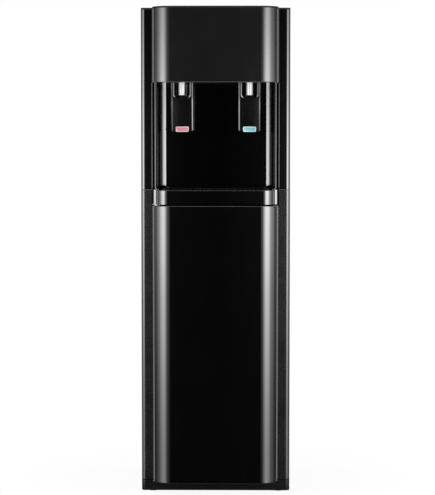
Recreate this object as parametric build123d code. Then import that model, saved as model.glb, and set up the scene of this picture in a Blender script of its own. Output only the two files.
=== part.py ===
from build123d import *
import os
from math import cos, radians, sin

# A free-standing bottom load water cooler, in millimetres.
# X runs to the right seen from the front, Y to the back, Z up.
# The origin is on the floor, at the middle of the overall width and depth.

# ---------------------------------------------------------------- outer form
cabinet_width = 330.0
strip_width = 25.0          # flat trim each side of the door and hood
body_depth = 308.0          # plinth front to rear panel
bow_depth = 60.0            # how far door, tray and hood stand out of the strips
rear_stand_off = 25.0       # depth of the condenser behind the rear panel
foot_clearance = 3.0        # plinth's lower edge above the floor
plinth_height = 23.6
panel_gap = 2.2             # seams under and over the door
door_height = 612.8
tray_front_height = 31.4
ledge_rise = 0.4            # cabinet ledge over the tray's rim
alcove_height = 234.2
hood_height = 161.2
lid_thickness = 4.0
bow_radius = 39.0           # plan radius of the bowed corners
side_gap = 1.5              # between a bowed front and the strip beside it
strip_step = 3.0            # lower strips stand this much ahead of the upper ones
strip_edge_radius = 8.5
strip_inner_radius = 1.0    # upper strips, beside the alcove
strip_top_radius = 2.0
front_edge_radius = 2.5     # rounding along the bowed fronts' upper and lower edges
lid_edge_radius = 1.5
foot_radius = 14.0
foot_inset = 25.0           # foot centre from the plinth's outer faces

# ---------------------------------------------------------------- walls
sheet = 1.0                 # steel side, rear and shelf sheets
deck_sheet = 2.0
moulding = 2.5              # door, hood and tray walls
pan_wall = 3.0
pan_floor = 4.0
liner_back_wall = 3.0
bay_wall = 2.0
flange_width = 13.0         # folded rear edge of a side panel

# ---------------------------------------------------------------- clearances
fit_gap = 0.3
running_fit = 0.05
hinge_play = 0.6

# ---------------------------------------------------------------- front frame
frame_depth = 15.0          # lower strips, front to back
lip_width = 2.5             # door stop inside each lower strip
lip_setback = 7.0
sill_height = 6.0
sill_setback = 2.0
lintel_height = 14.6
lintel_setback = 4.0
lintel_depth = 18.0
cheek_inset = 4.7           # cheeks beside the tray, behind the strips' inner edges
cheek_gap = 2.6
cheek_lead = 24.0           # cheeks ahead of the lower strips
cheek_slope = 1.9           # their fronts fall back this far towards the strips
cheek_flange_setback = 1.0  # flat beside each cheek, behind the lower strips' face
cheek_root_depth = 7.0

# ---------------------------------------------------------------- door
door_stand_off = 0.5
scoop_height = 110.0
scoop_drop = 40.0           # below the door's top
scoop_reach = 16.0
scoop_mouth = 12.5
scoop_wall = 2.0
scoop_lip = 1.5
door_liner_thickness = 3.0
door_rib = 4.0
rib_depth = 12.0
rib_left_gap = 20.0
rib_right_gap = 30.0        # clears the finger scoop
hinge_side_inset = 6.5      # pin axis from the door's side
hinge_front_inset = 12.5    # pin axis ahead of the door's back edge
hinge_pin_radius = 2.5
hinge_pin_length = 12.0
hinge_bush_wall = 1.6
hinge_tongue = 1.6
hinge_tongue_width = 17.0
hinge_tongue_gap = 1.0
hinge_tongue_margin = 2.5
hinge_boss = 13.0
magnet_width = 24.0
magnet_height = 10.0
magnet_gap = 0.2
magnet_side_gap = 8.0
magnet_drop = 2.0           # magnet below the lintel's top
magnet_root = 3.0
strike_thickness = 0.8

# ---------------------------------------------------------------- alcove and tray
alcove_depth = 120.0
alcove_rim = 7.5            # alcove side inside the strips
alcove_corner_radius = 29.0
alcove_panel_rise = 2.1     # back panel ahead of where the corners would meet it
alcove_panel_inset = 18.2   # panel's sides inside the alcove's
alcove_cove_radius = 7.0
alcove_mouth_radius = 2.0   # round of the side walls' front edges
tray_inset = 12.0           # tray front inside the strips
tray_rear_ledge = 11.0      # cabinet ledge left behind the tray
tray_side_clearance = 1.0
tray_runner_height = 2.2
tray_runner_width = 10.0
tray_runner_inset = 12.0    # runners inside the basin's sides
tray_runner_back = 8.0
tray_ledge = 2.0
tray_rim_radius = 1.2
tray_corner_radius = 23.0   # plan radius of the tray's front corners
basin_side_gap = 1.0
grille_thickness = 3.0
grille_slot = 5.0
grille_bar = 5.0
grille_margin = 14.0

# ---------------------------------------------------------------- taps and paddles
tap_spacing = 151.2         # hot spout to cold spout
tap_setback = 40.0          # spout axis behind the upper strips' face
spout_radius = 7.0
spout_bore = 4.5
spout_drop = 25.8           # spout mouth below the hood
spout_lip_radius = 1.5
valve_radius = 13.0
valve_height = 32.0
valve_gap = 1.0
valve_wall = 4.0
tap_foot_width = 30.0
tap_foot_length = 24.0
tap_foot_height = 6.0
nozzle_radius = 5.0
nozzle_length = 22.0
nozzle_rise = 18.0          # nozzle axis above the hood base's top
nozzle_wall = 2.0
seal_thickness = 3.0
seal_overlap = 2.0
stem_radius = 2.5
stem_head_radius = 6.0
stem_head_height = 3.0
paddle_width = 49.0
paddle_window = 34.5
paddle_thickness = 7.0
paddle_drop = 107.5         # paddle's lower edge below the hood
paddle_window_drop = 30.0
paddle_corner_radius = 7.0
paddle_window_radius = 6.0
paddle_edge_radius = 2.4
paddle_round_rise = 8.0     # rounded edges reach this far above the hood's lower face
paddle_bend_radius = 24.0
paddle_bend_drop = 4.0      # lower bend under the window's edge
paddle_knee_drop = 3.0      # upper bend under the hood
paddle_top_lead = 9.0       # arm ahead of the spout axis at the hood
paddle_mid_lag = 14.0       # behind it under the window
paddle_low_lag = 26.0       # behind it at the lower edge
pivot_lead = 18.0
pivot_rise = 21.5           # above the hood's lower face
pivot_pin_radius = 2.0
pivot_boss_radius = 5.0
pivot_ear = 3.0
ear_half = 5.0
arm_gap = 1.0               # beside a paddle's arms
slot_lead = 8.0             # slot in the hood's base ahead of the pivot
slot_lag = 14.0             # and behind the spout axis
fork_rise = 20.0
fork_bar = 5.0
fork_root = 2.0
fork_thickness = 3.5
fork_notch_gap = 1.5
label_width = 29.0
label_height = 13.0
label_thickness = 0.6
label_margin = 1.2
spring_wall = 1.2
spring_length = 9.0

# ---------------------------------------------------------------- bottle bay
bay_rear_gap = 18.0         # bay back to rear panel
bay_floor_thickness = 6.0
bottle_side_gap = 4.0       # bottle seat inside the bay
bottle_seat_depth = 2.0
probe_collar_radius = 31.0
probe_collar_height = 42.0
probe_collar_wall = 2.5
probe_collar_round = 5.0
probe_wall_gap = 5.0
probe_tube_radius = 7.0
probe_tube_bore = 4.5
probe_tube_length = 470.0
probe_tube_stub = 6.0
probe_drop = 28.0           # collar top below the deck
hook_thickness = 2.0
hook_width = 16.0
hook_ledge = 6.0            # the ring reaches this far under the collar

# ---------------------------------------------------------------- machine compartment
shelf_rise = 190.0          # tank shelf above the deck
compressor_radius = 70.0
compressor_height = 150.0
compressor_wall_gap = 12.0
compressor_dome = 28.0
compressor_plate = 3.0
compressor_shell = 3.0
terminal_box = 44.0
terminal_depth = 12.0       # outside the drum
terminal_root = 10.0
terminal_rise = 40.0
grommet_radius = 9.0
grommet_height = 12.0
cold_tank_radius = 58.0
cold_tank_height = 185.0
tank_wall = 1.2
tank_edge_radius = 8.0
foam_thickness = 16.0
coil_thickness = 5.0
coil_height = 126.0
hot_tank_radius = 48.0
hot_tank_height = 150.0
jacket_thickness = 8.0
heater_height = 40.0
heater_rise = 25.0
heater_thickness = 2.5
tank_clearance = 4.0
pump_radius = 24.0
pump_height = 60.0
pump_inset = 75.0           # pump axis from the right side panel
pump_back_gap = 10.0
pump_rise = 14.0
pump_foot = 28.0
pump_foot_sheet = 2.0
pump_foot_gap = 3.0
pump_leg = 3.0
pump_leg_grip = 10.0
pump_stub_rise = 8.0
pump_stub_wall = 2.0
hose_radius = 4.5
hose_bend = 7.0
hose_clearance = 1.5
hose_deck_gap = 5.0
riser_gap = 3.5
riser_straight = 20.0
riser_lift = 30.0           # hose over the tank shelf
pipe_radius = 3.0
pipe_bend = 8.0
pipe_end_gap = 12.0         # condenser stubs ahead of the rear panel
discharge_rise = 65.0       # lines over the condenser's entry
suction_rise = 85.0
suction_lift = 40.0         # lines over the tank shelf
capillary_lift = 50.0
drier_radius = 9.0
drier_length = 80.0
drier_rise = 16.0
drier_end_radius = 4.0
control_width = 52.0
control_depth = 80.0
control_height = 110.0
control_setback = 45.0      # box behind the alcove liner
control_rise = 75.0         # box above the deck
board_thickness = 1.6
board_margin = 3.0
board_back_gap = 8.0
transformer_size = 26.0
transformer_depth = 22.0
relay_width = 18.0
relay_height = 13.0
relay_depth = 14.0
relay_pitch = 17.0
capacitor_radius = 7.0
capacitor_length = 18.0

# ---------------------------------------------------------------- rear side
condenser_tube_radius = 2.4
condenser_pitch = 36.0
condenser_loops = 6
condenser_low = 95.0
condenser_edge = 34.0       # run ends from the cabinet's sides
condenser_end_reach = 12.0
condenser_entry_rise = 24.0 # above the deck
wire_overhang = 10.0
condenser_wire_radius = 0.9
condenser_wires = 12
bracket_width = 14.0
bracket_height = 24.0
bracket_side_gap = 3.0
bracket_grip = 4.0
louvre_side_margin = 14.0
louvre_middle_gap = 40.0
louvre_rise = 45.0          # above the deck
louvre_height = 5.0
louvre_pitch = 14.0
louvre_rows = 9
switch_x = -60.0
switch_spacing = 34.0
switch_rise = 97.8          # above the tank shelf
switch_width = 21.0
switch_tall = 28.0
switch_depth = 18.0
bezel_border = 2.0
bezel_thickness = 2.0
rocker_width = 17.0
rocker_tall = 20.0
rocker_thick = 8.0
rocker_tilt = 8.0
rocker_pin_radius = 1.5
rocker_room = 2.0
rocker_side_gap = 0.5
rocker_setback = 2.0        # pin behind the rear panel's face
drain_height = 700.0
drain_x = -20.0
drain_tube_radius = 6.0
drain_tube_bore = 3.5
drain_flange_radius = 11.0
drain_flange = 2.0
drain_reach = 14.0
drain_cap_radius = 9.0
drain_cap_end = 4.0
cap_grooves = 12
cap_groove_radius = 0.8
cap_groove_start = 2.0
gland_radius = 9.0
gland_flange_radius = 12.0
gland_reach = 12.0
gland_bore = 3.6
gland_rise = 40.0           # above the deck
gland_root = 6.0
gland_flange = 3.0
gland_x = 40.0
screw_head_radius = 4.0
screw_head_height = 2.2
screw_shank_radius = 1.8
screw_rows = 4
screw_end_gap = 20.0

# ---------------------------------------------------------------- worked-out places
half_width = cabinet_width / 2
bow_y = -(bow_depth + body_depth + rear_stand_off) / 2
front_y = bow_y + bow_depth
upper_front_y = front_y + strip_step
frame_back_y = front_y + frame_depth
rear_y = front_y + body_depth
rear_inner_y = rear_y - sheet
wall_y = rear_y + rear_stand_off
plinth_top = foot_clearance + plinth_height
door_bottom = plinth_top + panel_gap
door_top = door_bottom + door_height
tray_bottom = door_top + panel_gap
tray_top = tray_bottom + tray_front_height
ledge_z = tray_top + ledge_rise
hood_bottom = ledge_z + alcove_height
lid_bottom = hood_bottom + hood_height
lid_top = lid_bottom + lid_thickness
opening_half = half_width - strip_width
front_half = opening_half - side_gap
alcove_half_width = opening_half - alcove_rim
liner_half = opening_half - fit_gap
tray_half_front = opening_half - tray_inset
bay_half_width = opening_half
bottle_radius = bay_half_width - bottle_side_gap
door_back_y = front_y - door_stand_off
deck_top = door_top + hinge_play
deck_bottom = deck_top - deck_sheet
alcove_back_y = upper_front_y + alcove_depth
liner_rear_y = alcove_back_y + liner_back_wall
liner_front_y = upper_front_y + 2.0
liner_bottom = ledge_z - liner_back_wall
hood_base_top = hood_bottom + pan_wall
hinge_x = -(front_half - hinge_side_inset)
hinge_y = door_back_y - hinge_front_inset
tap_y = upper_front_y + tap_setback
pivot_y = tap_y - pivot_lead
pivot_z = hood_bottom + pivot_rise
valve_bottom = hood_base_top + valve_gap
valve_top = valve_bottom + valve_height
nozzle_z = hood_base_top + nozzle_rise
fork_top = pivot_z + fork_rise
bay_back_y = rear_y - bay_rear_gap
room_mid_y = (liner_rear_y + rear_inner_y) / 2
shelf_top = deck_top + shelf_rise
switch_height = shelf_top + switch_rise
tray_back_y = alcove_back_y - tray_rear_ledge - tray_side_clearance
basin_half = alcove_half_width - alcove_cove_radius - tray_side_clearance - basin_side_gap
foam_radius = cold_tank_radius + foam_thickness
cold_x = half_width - sheet - tank_clearance - foam_radius
hot_x = -(half_width - sheet - tank_clearance * 4 - hot_tank_radius - jacket_thickness)
compressor_x = -(half_width - sheet - compressor_wall_gap - compressor_radius)
probe_x = -(bay_half_width - probe_collar_radius - probe_wall_gap)
probe_y = bay_back_y - bay_wall - probe_collar_radius - probe_wall_gap
collar_top = deck_bottom - probe_drop
tap_places = {"hot": -tap_spacing / 2, "cold": tap_spacing / 2}
condenser_y = rear_y + rear_stand_off / 2
pipe_end_y = rear_inner_y - pipe_end_gap
pipe_back_y = pipe_end_y - pipe_bend - 2.0
pump_x = half_width - sheet - pump_inset
pump_y = liner_rear_y + pump_radius + pump_back_gap


# ---------------------------------------------------------------- simple solids
def span(x, y, z):
    """A block between two values along each axis."""
    middle = [(low + high) / 2 for low, high in (x, y, z)]
    size = [high - low for low, high in (x, y, z)]
    return Pos(*middle) * Box(*size)


def upright(x, y, z, radius):
    return Pos(x, y, (z[0] + z[1]) / 2) * Cylinder(radius, z[1] - z[0])


def along_x(x, y, z, radius):
    return Pos((x[0] + x[1]) / 2, y, z) * Rot(0, 90, 0) * Cylinder(radius, x[1] - x[0])


def along_y(x, y, z, radius):
    return Pos(x, (y[0] + y[1]) / 2, z) * Rot(90, 0, 0) * Cylinder(radius, y[1] - y[0])


def bow(half, front, back, radius, z):
    """A block with its two front corners rounded in plan, as door and hood have."""
    plan = Pos(0, (front + back) / 2) * Rectangle(2 * half, back - front)
    plan = fillet(plan.vertices().sort_by(Axis.Y)[:2], radius)
    return extrude(Pos(0, 0, z[0]) * plan, z[1] - z[0])


def soften(solid, back, radius, top=True, bottom=True):
    """Round the upper and lower edges of a bowed block, but not along its back."""
    faces = solid.faces().sort_by(Axis.Z)
    chosen = ([faces[-1]] if top else []) + ([faces[0]] if bottom else [])
    edges = [edge for face in chosen for edge in face.edges() if edge.center().Y < back - 0.01]
    return fillet(edges, radius)


def pipe(points, radius, bend):
    """A round tube along straight runs joined by tangent arcs."""
    path = FilletPolyline(*points, radius=bend)
    section = Plane(path @ 0, z_dir=path % 0) * Circle(radius)
    return sweep(section, path=path)


def group(solids):
    return Compound(children=list(solids))


# ---------------------------------------------------------------- cabinet
def base_pan():
    """Moulded base, its front skirt is the plinth."""
    body = span((-half_width, half_width), (front_y, rear_y), (foot_clearance, plinth_top))
    corners = body.edges().filter_by(Axis.Z).sort_by(Axis.Y)[:2]
    body = fillet(corners, strip_edge_radius)
    inside = (-half_width + pan_wall, half_width - pan_wall)
    return body - span(inside, (front_y + pan_wall, rear_y - pan_wall), (0, plinth_top - pan_floor))


def rubber_feet():
    feet = []
    for side in (-1, 1):
        for foot_y in (front_y + foot_inset, rear_y - foot_inset):
            foot_x = side * (half_width - foot_inset)
            feet.append(upright(foot_x, foot_y, (0, plinth_top - pan_floor), foot_radius))
    return group(feet)


def both_sides(solid):
    """A right-hand piece with its mirror image on the left."""
    return group([mirror(solid, about=Plane.YZ), solid])


def side_panels():
    """Steel sides, each with a folded edge that the rear panel screws to."""
    outer = span((half_width - sheet, half_width), (frame_back_y, rear_y), (plinth_top, lid_bottom))
    flange_x = (half_width - sheet - flange_width, half_width - sheet)
    flange = span(flange_x, (rear_inner_y - sheet, rear_inner_y), (plinth_top, lid_bottom))
    return both_sides(outer + flange)


def lower_strips():
    """Front trims beside the door, with the lips that the door closes against."""
    strip = span((opening_half, half_width), (front_y, frame_back_y), (plinth_top, ledge_z))
    outer_edge = strip.edges().filter_by(Axis.Z).sort_by(lambda edge: edge.center().Y - edge.center().X)[0]
    strip = fillet(outer_edge, strip_edge_radius)
    upper_edges = [edge for edge in strip.faces().sort_by(Axis.Z)[-1].edges()
                   if edge.center().Y < frame_back_y - 0.1 and edge.center().X > opening_half + 0.1]
    strip = fillet(upper_edges, strip_top_radius)
    lip = span((opening_half - lip_width, opening_half), (front_y + lip_setback, frame_back_y),
               (plinth_top + sill_height, deck_top - lintel_height))
    return both_sides(strip + lip)


def upper_strips():
    """Front trims beside the alcove and the hood."""
    strip = span((opening_half, half_width), (upper_front_y, frame_back_y), (ledge_z, lid_bottom))
    outer_edge = strip.edges().filter_by(Axis.Z).sort_by(lambda edge: edge.center().Y - edge.center().X)[0]
    strip = fillet(outer_edge, strip_edge_radius)
    inner_edge = strip.edges().filter_by(Axis.Z).sort_by(lambda edge: edge.center().Y + edge.center().X)[0]
    return both_sides(fillet(inner_edge, strip_inner_radius))


def hinge_plate(z_low):
    """Flat steel tongue that carries one hinge pin."""
    x = (-opening_half + hinge_tongue_gap, -opening_half + hinge_tongue_gap + hinge_tongue_width)
    y = (hinge_y - hinge_pin_radius - hinge_tongue_margin,
         front_y + lintel_setback + lintel_depth - cheek_root_depth - hinge_tongue_gap)
    return span(x, y, (z_low, z_low + hinge_tongue))


def hinge_brackets():
    bore = upright(hinge_x, hinge_y, (plinth_top, deck_top + hinge_tongue), hinge_pin_radius)
    return group([hinge_plate(plinth_top) - bore, hinge_plate(deck_top) - bore])


def hinge_pins():
    lower = upright(hinge_x, hinge_y, (plinth_top, door_bottom + hinge_pin_length), hinge_pin_radius)
    upper_z = (door_top - hinge_pin_length, deck_top + hinge_tongue)
    upper = upright(hinge_x, hinge_y, upper_z, hinge_pin_radius)
    return group([lower, upper])


def door_sill():
    sill = span((-opening_half, opening_half), (front_y + sill_setback, frame_back_y),
                (plinth_top, plinth_top + sill_height))
    return sill - hinge_plate(plinth_top)


def tray_housing():
    """Cross member over the door: lintel, the two cheeks beside the tray and its runners."""
    lintel_front = front_y + lintel_setback
    lintel_back = lintel_front + lintel_depth
    lintel = span((-opening_half, opening_half), (lintel_front, lintel_back),
                  (deck_top - lintel_height, deck_top))
    cheek_half = opening_half - cheek_inset
    cheek_inner = tray_half_front + cheek_gap
    cheek_front = front_y - cheek_lead
    cheek_back = liner_front_y - fit_gap
    slope_end = cheek_front + cheek_slope
    plan = make_face(Polyline((cheek_inner, cheek_front), (cheek_half, slope_end), (cheek_half, cheek_back),
                              (cheek_inner, cheek_back), close=True))
    cheeks = both_sides(extrude(Pos(0, 0, tray_bottom) * plan, ledge_z - tray_bottom))
    housing = lintel + cheeks
    for side in (-1, 1):
        x = sorted((side * cheek_inner, side * cheek_half))
        root = span(x, (lintel_back - cheek_root_depth, lintel_back), (deck_top, tray_bottom))
        runner_end = basin_half - tray_runner_inset
        runner_x = sorted((side * (runner_end - tray_runner_width), side * runner_end))
        runner_z = (deck_top, deck_top + tray_runner_height)
        runner = span(runner_x, (lintel_front, tray_back_y - tray_runner_back), runner_z)
        flange_x = sorted((side * cheek_half, side * (opening_half - fit_gap)))
        flange = span(flange_x, (front_y + cheek_flange_setback, liner_front_y - fit_gap),
                      (tray_bottom, ledge_z))
        housing = housing + root + runner + flange
    return housing - magnet_pocket()


def magnet_pocket():
    x = (opening_half - magnet_side_gap - magnet_width, opening_half - magnet_side_gap)
    z = (deck_top - magnet_drop - magnet_height, deck_top - magnet_drop)
    return span(x, (door_back_y + strike_thickness + magnet_gap, front_y + lintel_setback + magnet_root), z)


def mid_deck():
    """Shelf over the bottle bay that carries the tray and the compressor."""
    deck = span((-half_width + sheet, half_width - sheet),
                (front_y + lintel_setback + lintel_depth, rear_inner_y - sheet), (deck_bottom, deck_top))
    return deck - upright(pump_x, pump_y, (deck_bottom - 1, deck_top + 1), hose_radius + hose_clearance)


def bay_sides():
    return both_sides(span((bay_half_width, bay_half_width + bay_wall), (frame_back_y, bay_back_y),
                           (plinth_top + bay_floor_thickness, deck_bottom)))


def bay_back():
    return span((-bay_half_width, bay_half_width), (bay_back_y - bay_wall, bay_back_y),
                (plinth_top + bay_floor_thickness, deck_bottom))


def bay_floor():
    """Floor of the bottle bay, with a shallow round seat for the bottle."""
    half = bay_half_width + bay_wall
    floor = span((-half, half), (frame_back_y, bay_back_y), (plinth_top, plinth_top + bay_floor_thickness))
    seat_y = (frame_back_y + bay_back_y - bay_wall) / 2
    top = plinth_top + bay_floor_thickness
    return floor - upright(0, seat_y, (top - bottle_seat_depth, top + 1), bottle_radius)


def rear_panel():
    """Sheet back with louvres and the holes for what passes through it."""
    panel = span((-half_width + sheet, half_width - sheet), (rear_inner_y, rear_y),
                 (plinth_top, lid_bottom))
    for row in range(louvre_rows):
        z = deck_top + louvre_rise + row * louvre_pitch
        for side in (-1, 1):
            x = sorted((side * louvre_middle_gap, side * (half_width - sheet - louvre_side_margin)))
            panel = panel - span(x, (rear_inner_y - 1, rear_y + 1), (z, z + louvre_height))
    through = (rear_inner_y - 1, rear_y + 1)
    for x in switch_places().values():
        panel = panel - span((x - switch_width / 2, x + switch_width / 2), through,
                             (switch_height - switch_tall / 2, switch_height + switch_tall / 2))
    panel = panel - along_y(drain_x, through, drain_height, drain_tube_radius + fit_gap)
    panel = panel - along_y(gland_x, through, gland_z(), gland_radius)
    for x in condenser_ends():
        panel = panel - along_y(x, through, condenser_entry_z(), condenser_tube_radius + 1.0)
    for x, z in screw_places():
        panel = panel - along_y(x, through, z, screw_shank_radius)
    return panel


def screw_places():
    x = half_width - sheet - flange_width / 2
    step = (lid_bottom - plinth_top - 2 * screw_end_gap) / (screw_rows - 1)
    heights = [plinth_top + screw_end_gap + row * step for row in range(screw_rows)]
    return [(side * x, z) for side in (-1, 1) for z in heights]


def rear_screws():
    screws = []
    for x, z in screw_places():
        head = along_y(x, (rear_y, rear_y + screw_head_height), z, screw_head_radius)
        shank = along_y(x, (rear_inner_y, rear_y), z, screw_shank_radius)
        screws.append(head + shank)
    return group(screws)


def lid_plan(inset, z):
    """Plan of the cabinet's top: a rectangle with the bow in front of it."""
    back = span((-half_width + inset, half_width - inset), (upper_front_y + inset, rear_y - inset), z)
    corners = back.edges().filter_by(Axis.Z).sort_by(Axis.Y)[:2]
    back = fillet(corners, strip_edge_radius - inset)
    return back + bow(front_half - inset, bow_y + inset, rear_y - inset, bow_radius - inset, z)


def top_cover():
    lid = lid_plan(0.0, (lid_bottom, lid_top))
    return fillet(lid.faces().sort_by(Axis.Z)[-1].edges(), lid_edge_radius)


def alcove_liner():
    """Gloss moulding that lines the dispensing alcove, with coved corners and floor."""
    liner = span((-liner_half, liner_half), (liner_front_y, liner_rear_y), (liner_bottom, hood_bottom))
    cavity = span((-alcove_half_width, alcove_half_width),
                  (bow_y, alcove_back_y + alcove_panel_rise), (ledge_z, hood_base_top))
    corners = cavity.edges().filter_by(Axis.Z).sort_by(Axis.Y)[-2:]
    cavity = fillet(corners, alcove_corner_radius)
    floor = cavity.faces().sort_by(Axis.Z)[0]
    foot = [edge for edge in floor.edges() if edge.center().Y > bow_y + 1.0]
    cavity = fillet(foot, alcove_cove_radius)
    hole_half = basin_half + tray_side_clearance
    tray_hole = span((-hole_half, hole_half), (liner_front_y - 1, alcove_back_y - tray_rear_ledge),
                     (liner_bottom - 1, ledge_z + alcove_cove_radius + 1))
    panel_half = alcove_half_width - alcove_panel_inset
    panel = span((-panel_half, panel_half), (alcove_back_y, liner_rear_y),
                 (ledge_z + alcove_cove_radius, hood_bottom))
    liner = liner - cavity - tray_hole + panel
    mouth = [edge for edge in liner.edges().filter_by(Axis.Z)
             if abs(edge.center().Y - liner_front_y) < 0.1
             and abs(abs(edge.center().X) - alcove_half_width) < 0.1]
    return fillet(mouth, alcove_mouth_radius)


def hood_shell():
    """Bowed front of the hood, open at its back, with a rounded lower edge."""
    outer = bow(front_half, bow_y, frame_back_y, bow_radius, (hood_bottom, lid_bottom))
    outer = soften(outer, frame_back_y, front_edge_radius, top=False)
    inner = bow(front_half - moulding, bow_y + moulding, frame_back_y + 1, bow_radius - moulding,
                (hood_bottom - 1, lid_bottom + 1))
    return outer - inner


def hood_base():
    """Underside of the hood and ceiling of the alcove, with the ears for the pivot pins."""
    inset = moulding + fit_gap
    plate = bow(front_half - inset, bow_y + inset, frame_back_y, bow_radius - inset,
                (hood_bottom, hood_base_top))
    rear_half = liner_half - liner_back_wall
    plate = plate + span((-rear_half, rear_half), (frame_back_y, liner_rear_y),
                         (hood_bottom, hood_base_top))
    arm_half = paddle_width / 2
    for x in tap_places.values():
        slot_y = (pivot_y - slot_lead, tap_y + slot_lag)
        slot = span((x - arm_half - arm_gap, x + arm_half + arm_gap), slot_y,
                    (hood_bottom - 1, hood_base_top + 1))
        plate = plate - slot
        for side in (-1, 1):
            ear_x = sorted((x + side * (arm_half + arm_gap), x + side * (arm_half + arm_gap + pivot_ear)))
            ear = span(ear_x, (pivot_y - ear_half, pivot_y + ear_half), (hood_bottom, pivot_z + ear_half))
            plate = plate + ear
        reach = (x - arm_half - arm_gap - pivot_ear - 1.0, x + arm_half + arm_gap + pivot_ear + 1.0)
        plate = plate - along_x(reach, pivot_y, pivot_z, pivot_pin_radius)
    return plate


# ---------------------------------------------------------------- door
def door_outer(extra=0.0):
    return bow(front_half - extra, bow_y + extra, door_back_y, bow_radius - extra,
               (door_bottom + extra, door_top - extra))


def scoop_block(grow):
    z = (door_top - scoop_drop - scoop_height - grow, door_top - scoop_drop + grow)
    x = (front_half - scoop_reach - grow, front_half + 1)
    back = door_back_y - scoop_lip
    return span(x, (back - scoop_mouth - grow, back + min(grow, scoop_lip)), z)


def door_shell():
    """Bowed outer skin of the door with its rounded rim, hinge bosses and finger scoop."""
    outer = soften(door_outer(), door_back_y, front_edge_radius)
    inner = bow(front_half - moulding, bow_y + moulding, door_back_y + 1, bow_radius - moulding,
                (door_bottom + moulding, door_top - moulding))
    shell = outer - inner
    x = (-front_half, -front_half + hinge_boss)
    y = (hinge_y - hinge_boss / 2, door_back_y - door_liner_thickness - 0.5)
    length = hinge_pin_length + 1.0
    for z in ((door_bottom, door_bottom + length), (door_top - length, door_top)):
        shell = shell + (span(x, y, z) & outer)
    shell = shell + (scoop_block(scoop_wall) & outer)
    shell = shell - scoop_block(0.0)
    for z in ((door_bottom - 1, door_bottom + hinge_pin_length),
              (door_top - hinge_pin_length, door_top + 1)):
        shell = shell - upright(hinge_x, hinge_y, z, hinge_pin_radius + running_fit + hinge_bush_wall)
    return shell


def door_bushes():
    """Plain bushes in the door's two ends, for the hinge pins."""
    outer_radius = hinge_pin_radius + running_fit + hinge_bush_wall
    bushes = []
    for z in ((door_bottom, door_bottom + hinge_pin_length), (door_top - hinge_pin_length, door_top)):
        bush = upright(hinge_x, hinge_y, z, outer_radius)
        bushes.append(bush - upright(hinge_x, hinge_y, z, hinge_pin_radius + running_fit))
    return group(bushes)


def door_liner():
    """Inner panel of the door, with two stiffening ribs on its hidden side."""
    half = front_half - moulding - fit_gap
    z = (door_bottom + moulding + fit_gap, door_top - moulding - fit_gap)
    back = (door_back_y - door_liner_thickness, door_back_y)
    liner = span((-half, half), back, z)
    for part in (1 / 3, 2 / 3):
        middle = z[0] + part * (z[1] - z[0])
        rib_y = (back[0] - rib_depth, back[0])
        rib_x = (-half + rib_left_gap, half - rib_right_gap)
        liner = liner + span(rib_x, rib_y, (middle - door_rib / 2, middle + door_rib / 2))
    return liner - scoop_block(scoop_wall + fit_gap)


def strike_plate():
    x = (opening_half - magnet_side_gap - magnet_width, opening_half - magnet_side_gap)
    z = (deck_top - magnet_drop - magnet_height, min(deck_top - magnet_drop, door_top - moulding - 1.0))
    return span(x, (door_back_y, door_back_y + strike_thickness), z)


def door_magnet():
    return magnet_pocket()


# ---------------------------------------------------------------- drip tray
def tray_outline(z):
    """Bowed front joined to the narrower basin behind it."""
    front = bow(tray_half_front, bow_y, liner_front_y - fit_gap * 2, tray_corner_radius, z)
    return front + span((-basin_half, basin_half), (bow_y + tray_corner_radius, tray_back_y), z)


def tray_recess(inset, z):
    """Opening of the tray: bowed in front, and as wide as the basin."""
    return bow(basin_half - inset, bow_y + inset, tray_back_y - inset, tray_corner_radius - inset, z)


def drip_tray():
    rim = (deck_top + tray_runner_height, tray_top)
    body = tray_outline(rim)
    front = [edge for edge in body.faces().sort_by(Axis.Z)[-1].edges()
             if edge.center().Y < liner_front_y - 3.0]
    body = fillet(front, tray_rim_radius)
    wide = tray_recess(moulding, (tray_top - grille_thickness - fit_gap, tray_top + 1))
    deep = tray_recess(moulding + tray_ledge, (rim[0] + moulding, tray_top))
    return body - wide - deep


def drip_grille():
    """Slotted plate that lies in the tray's rim."""
    z = (tray_top - grille_thickness - fit_gap, tray_top - fit_gap)
    plate = tray_recess(moulding + fit_gap, z)
    step = grille_slot + grille_bar
    half = basin_half - moulding - fit_gap - grille_margin
    slots = int(2 * half / step)
    y = (bow_y + moulding + grille_margin, tray_back_y - moulding - grille_margin)
    middle = (y[0] + y[1]) / 2
    for index in range(slots):
        x = (index - (slots - 1) / 2) * step
        for slot_y in ((y[0], middle - grille_bar / 2), (middle + grille_bar / 2, y[1])):
            plate = plate - span((x - grille_slot / 2, x + grille_slot / 2), slot_y, (z[0] - 1, z[1] + 1))
    return plate


# ---------------------------------------------------------------- taps
def taps():
    return group(tap_body(x) for x in tap_places.values())


def tap_body(x):
    """Valve housing with its white spout, foot and rear nozzle."""
    base = valve_bottom
    body = upright(x, tap_y, (base, valve_top), valve_radius)
    foot_y = (tap_y + valve_radius - 2.0, tap_y + valve_radius + tap_foot_length)
    body = body + span((x - tap_foot_width / 2, x + tap_foot_width / 2), foot_y,
                       (hood_base_top, hood_base_top + tap_foot_height))
    spout = upright(x, tap_y, (hood_bottom - spout_drop, base), spout_radius)
    spout = fillet(spout.edges().sort_by(Axis.Z)[0], spout_lip_radius)
    body = body + spout
    nozzle_y = (tap_y + valve_radius - 1.0, tap_y + valve_radius + nozzle_length)
    body = body + along_y(x, nozzle_y, nozzle_z, nozzle_radius)
    body = body - upright(x, tap_y, (hood_bottom - spout_drop - 1, base + valve_wall), spout_bore)
    chamber = upright(x, tap_y, (base + valve_wall, valve_top - valve_wall), valve_radius - valve_wall)
    body = body - chamber - upright(x, tap_y, (base, valve_top + 1), stem_radius + running_fit)
    bore_y = (tap_y, nozzle_y[1] + 1)
    return body - along_y(x, bore_y, nozzle_z, nozzle_radius - nozzle_wall)


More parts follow.
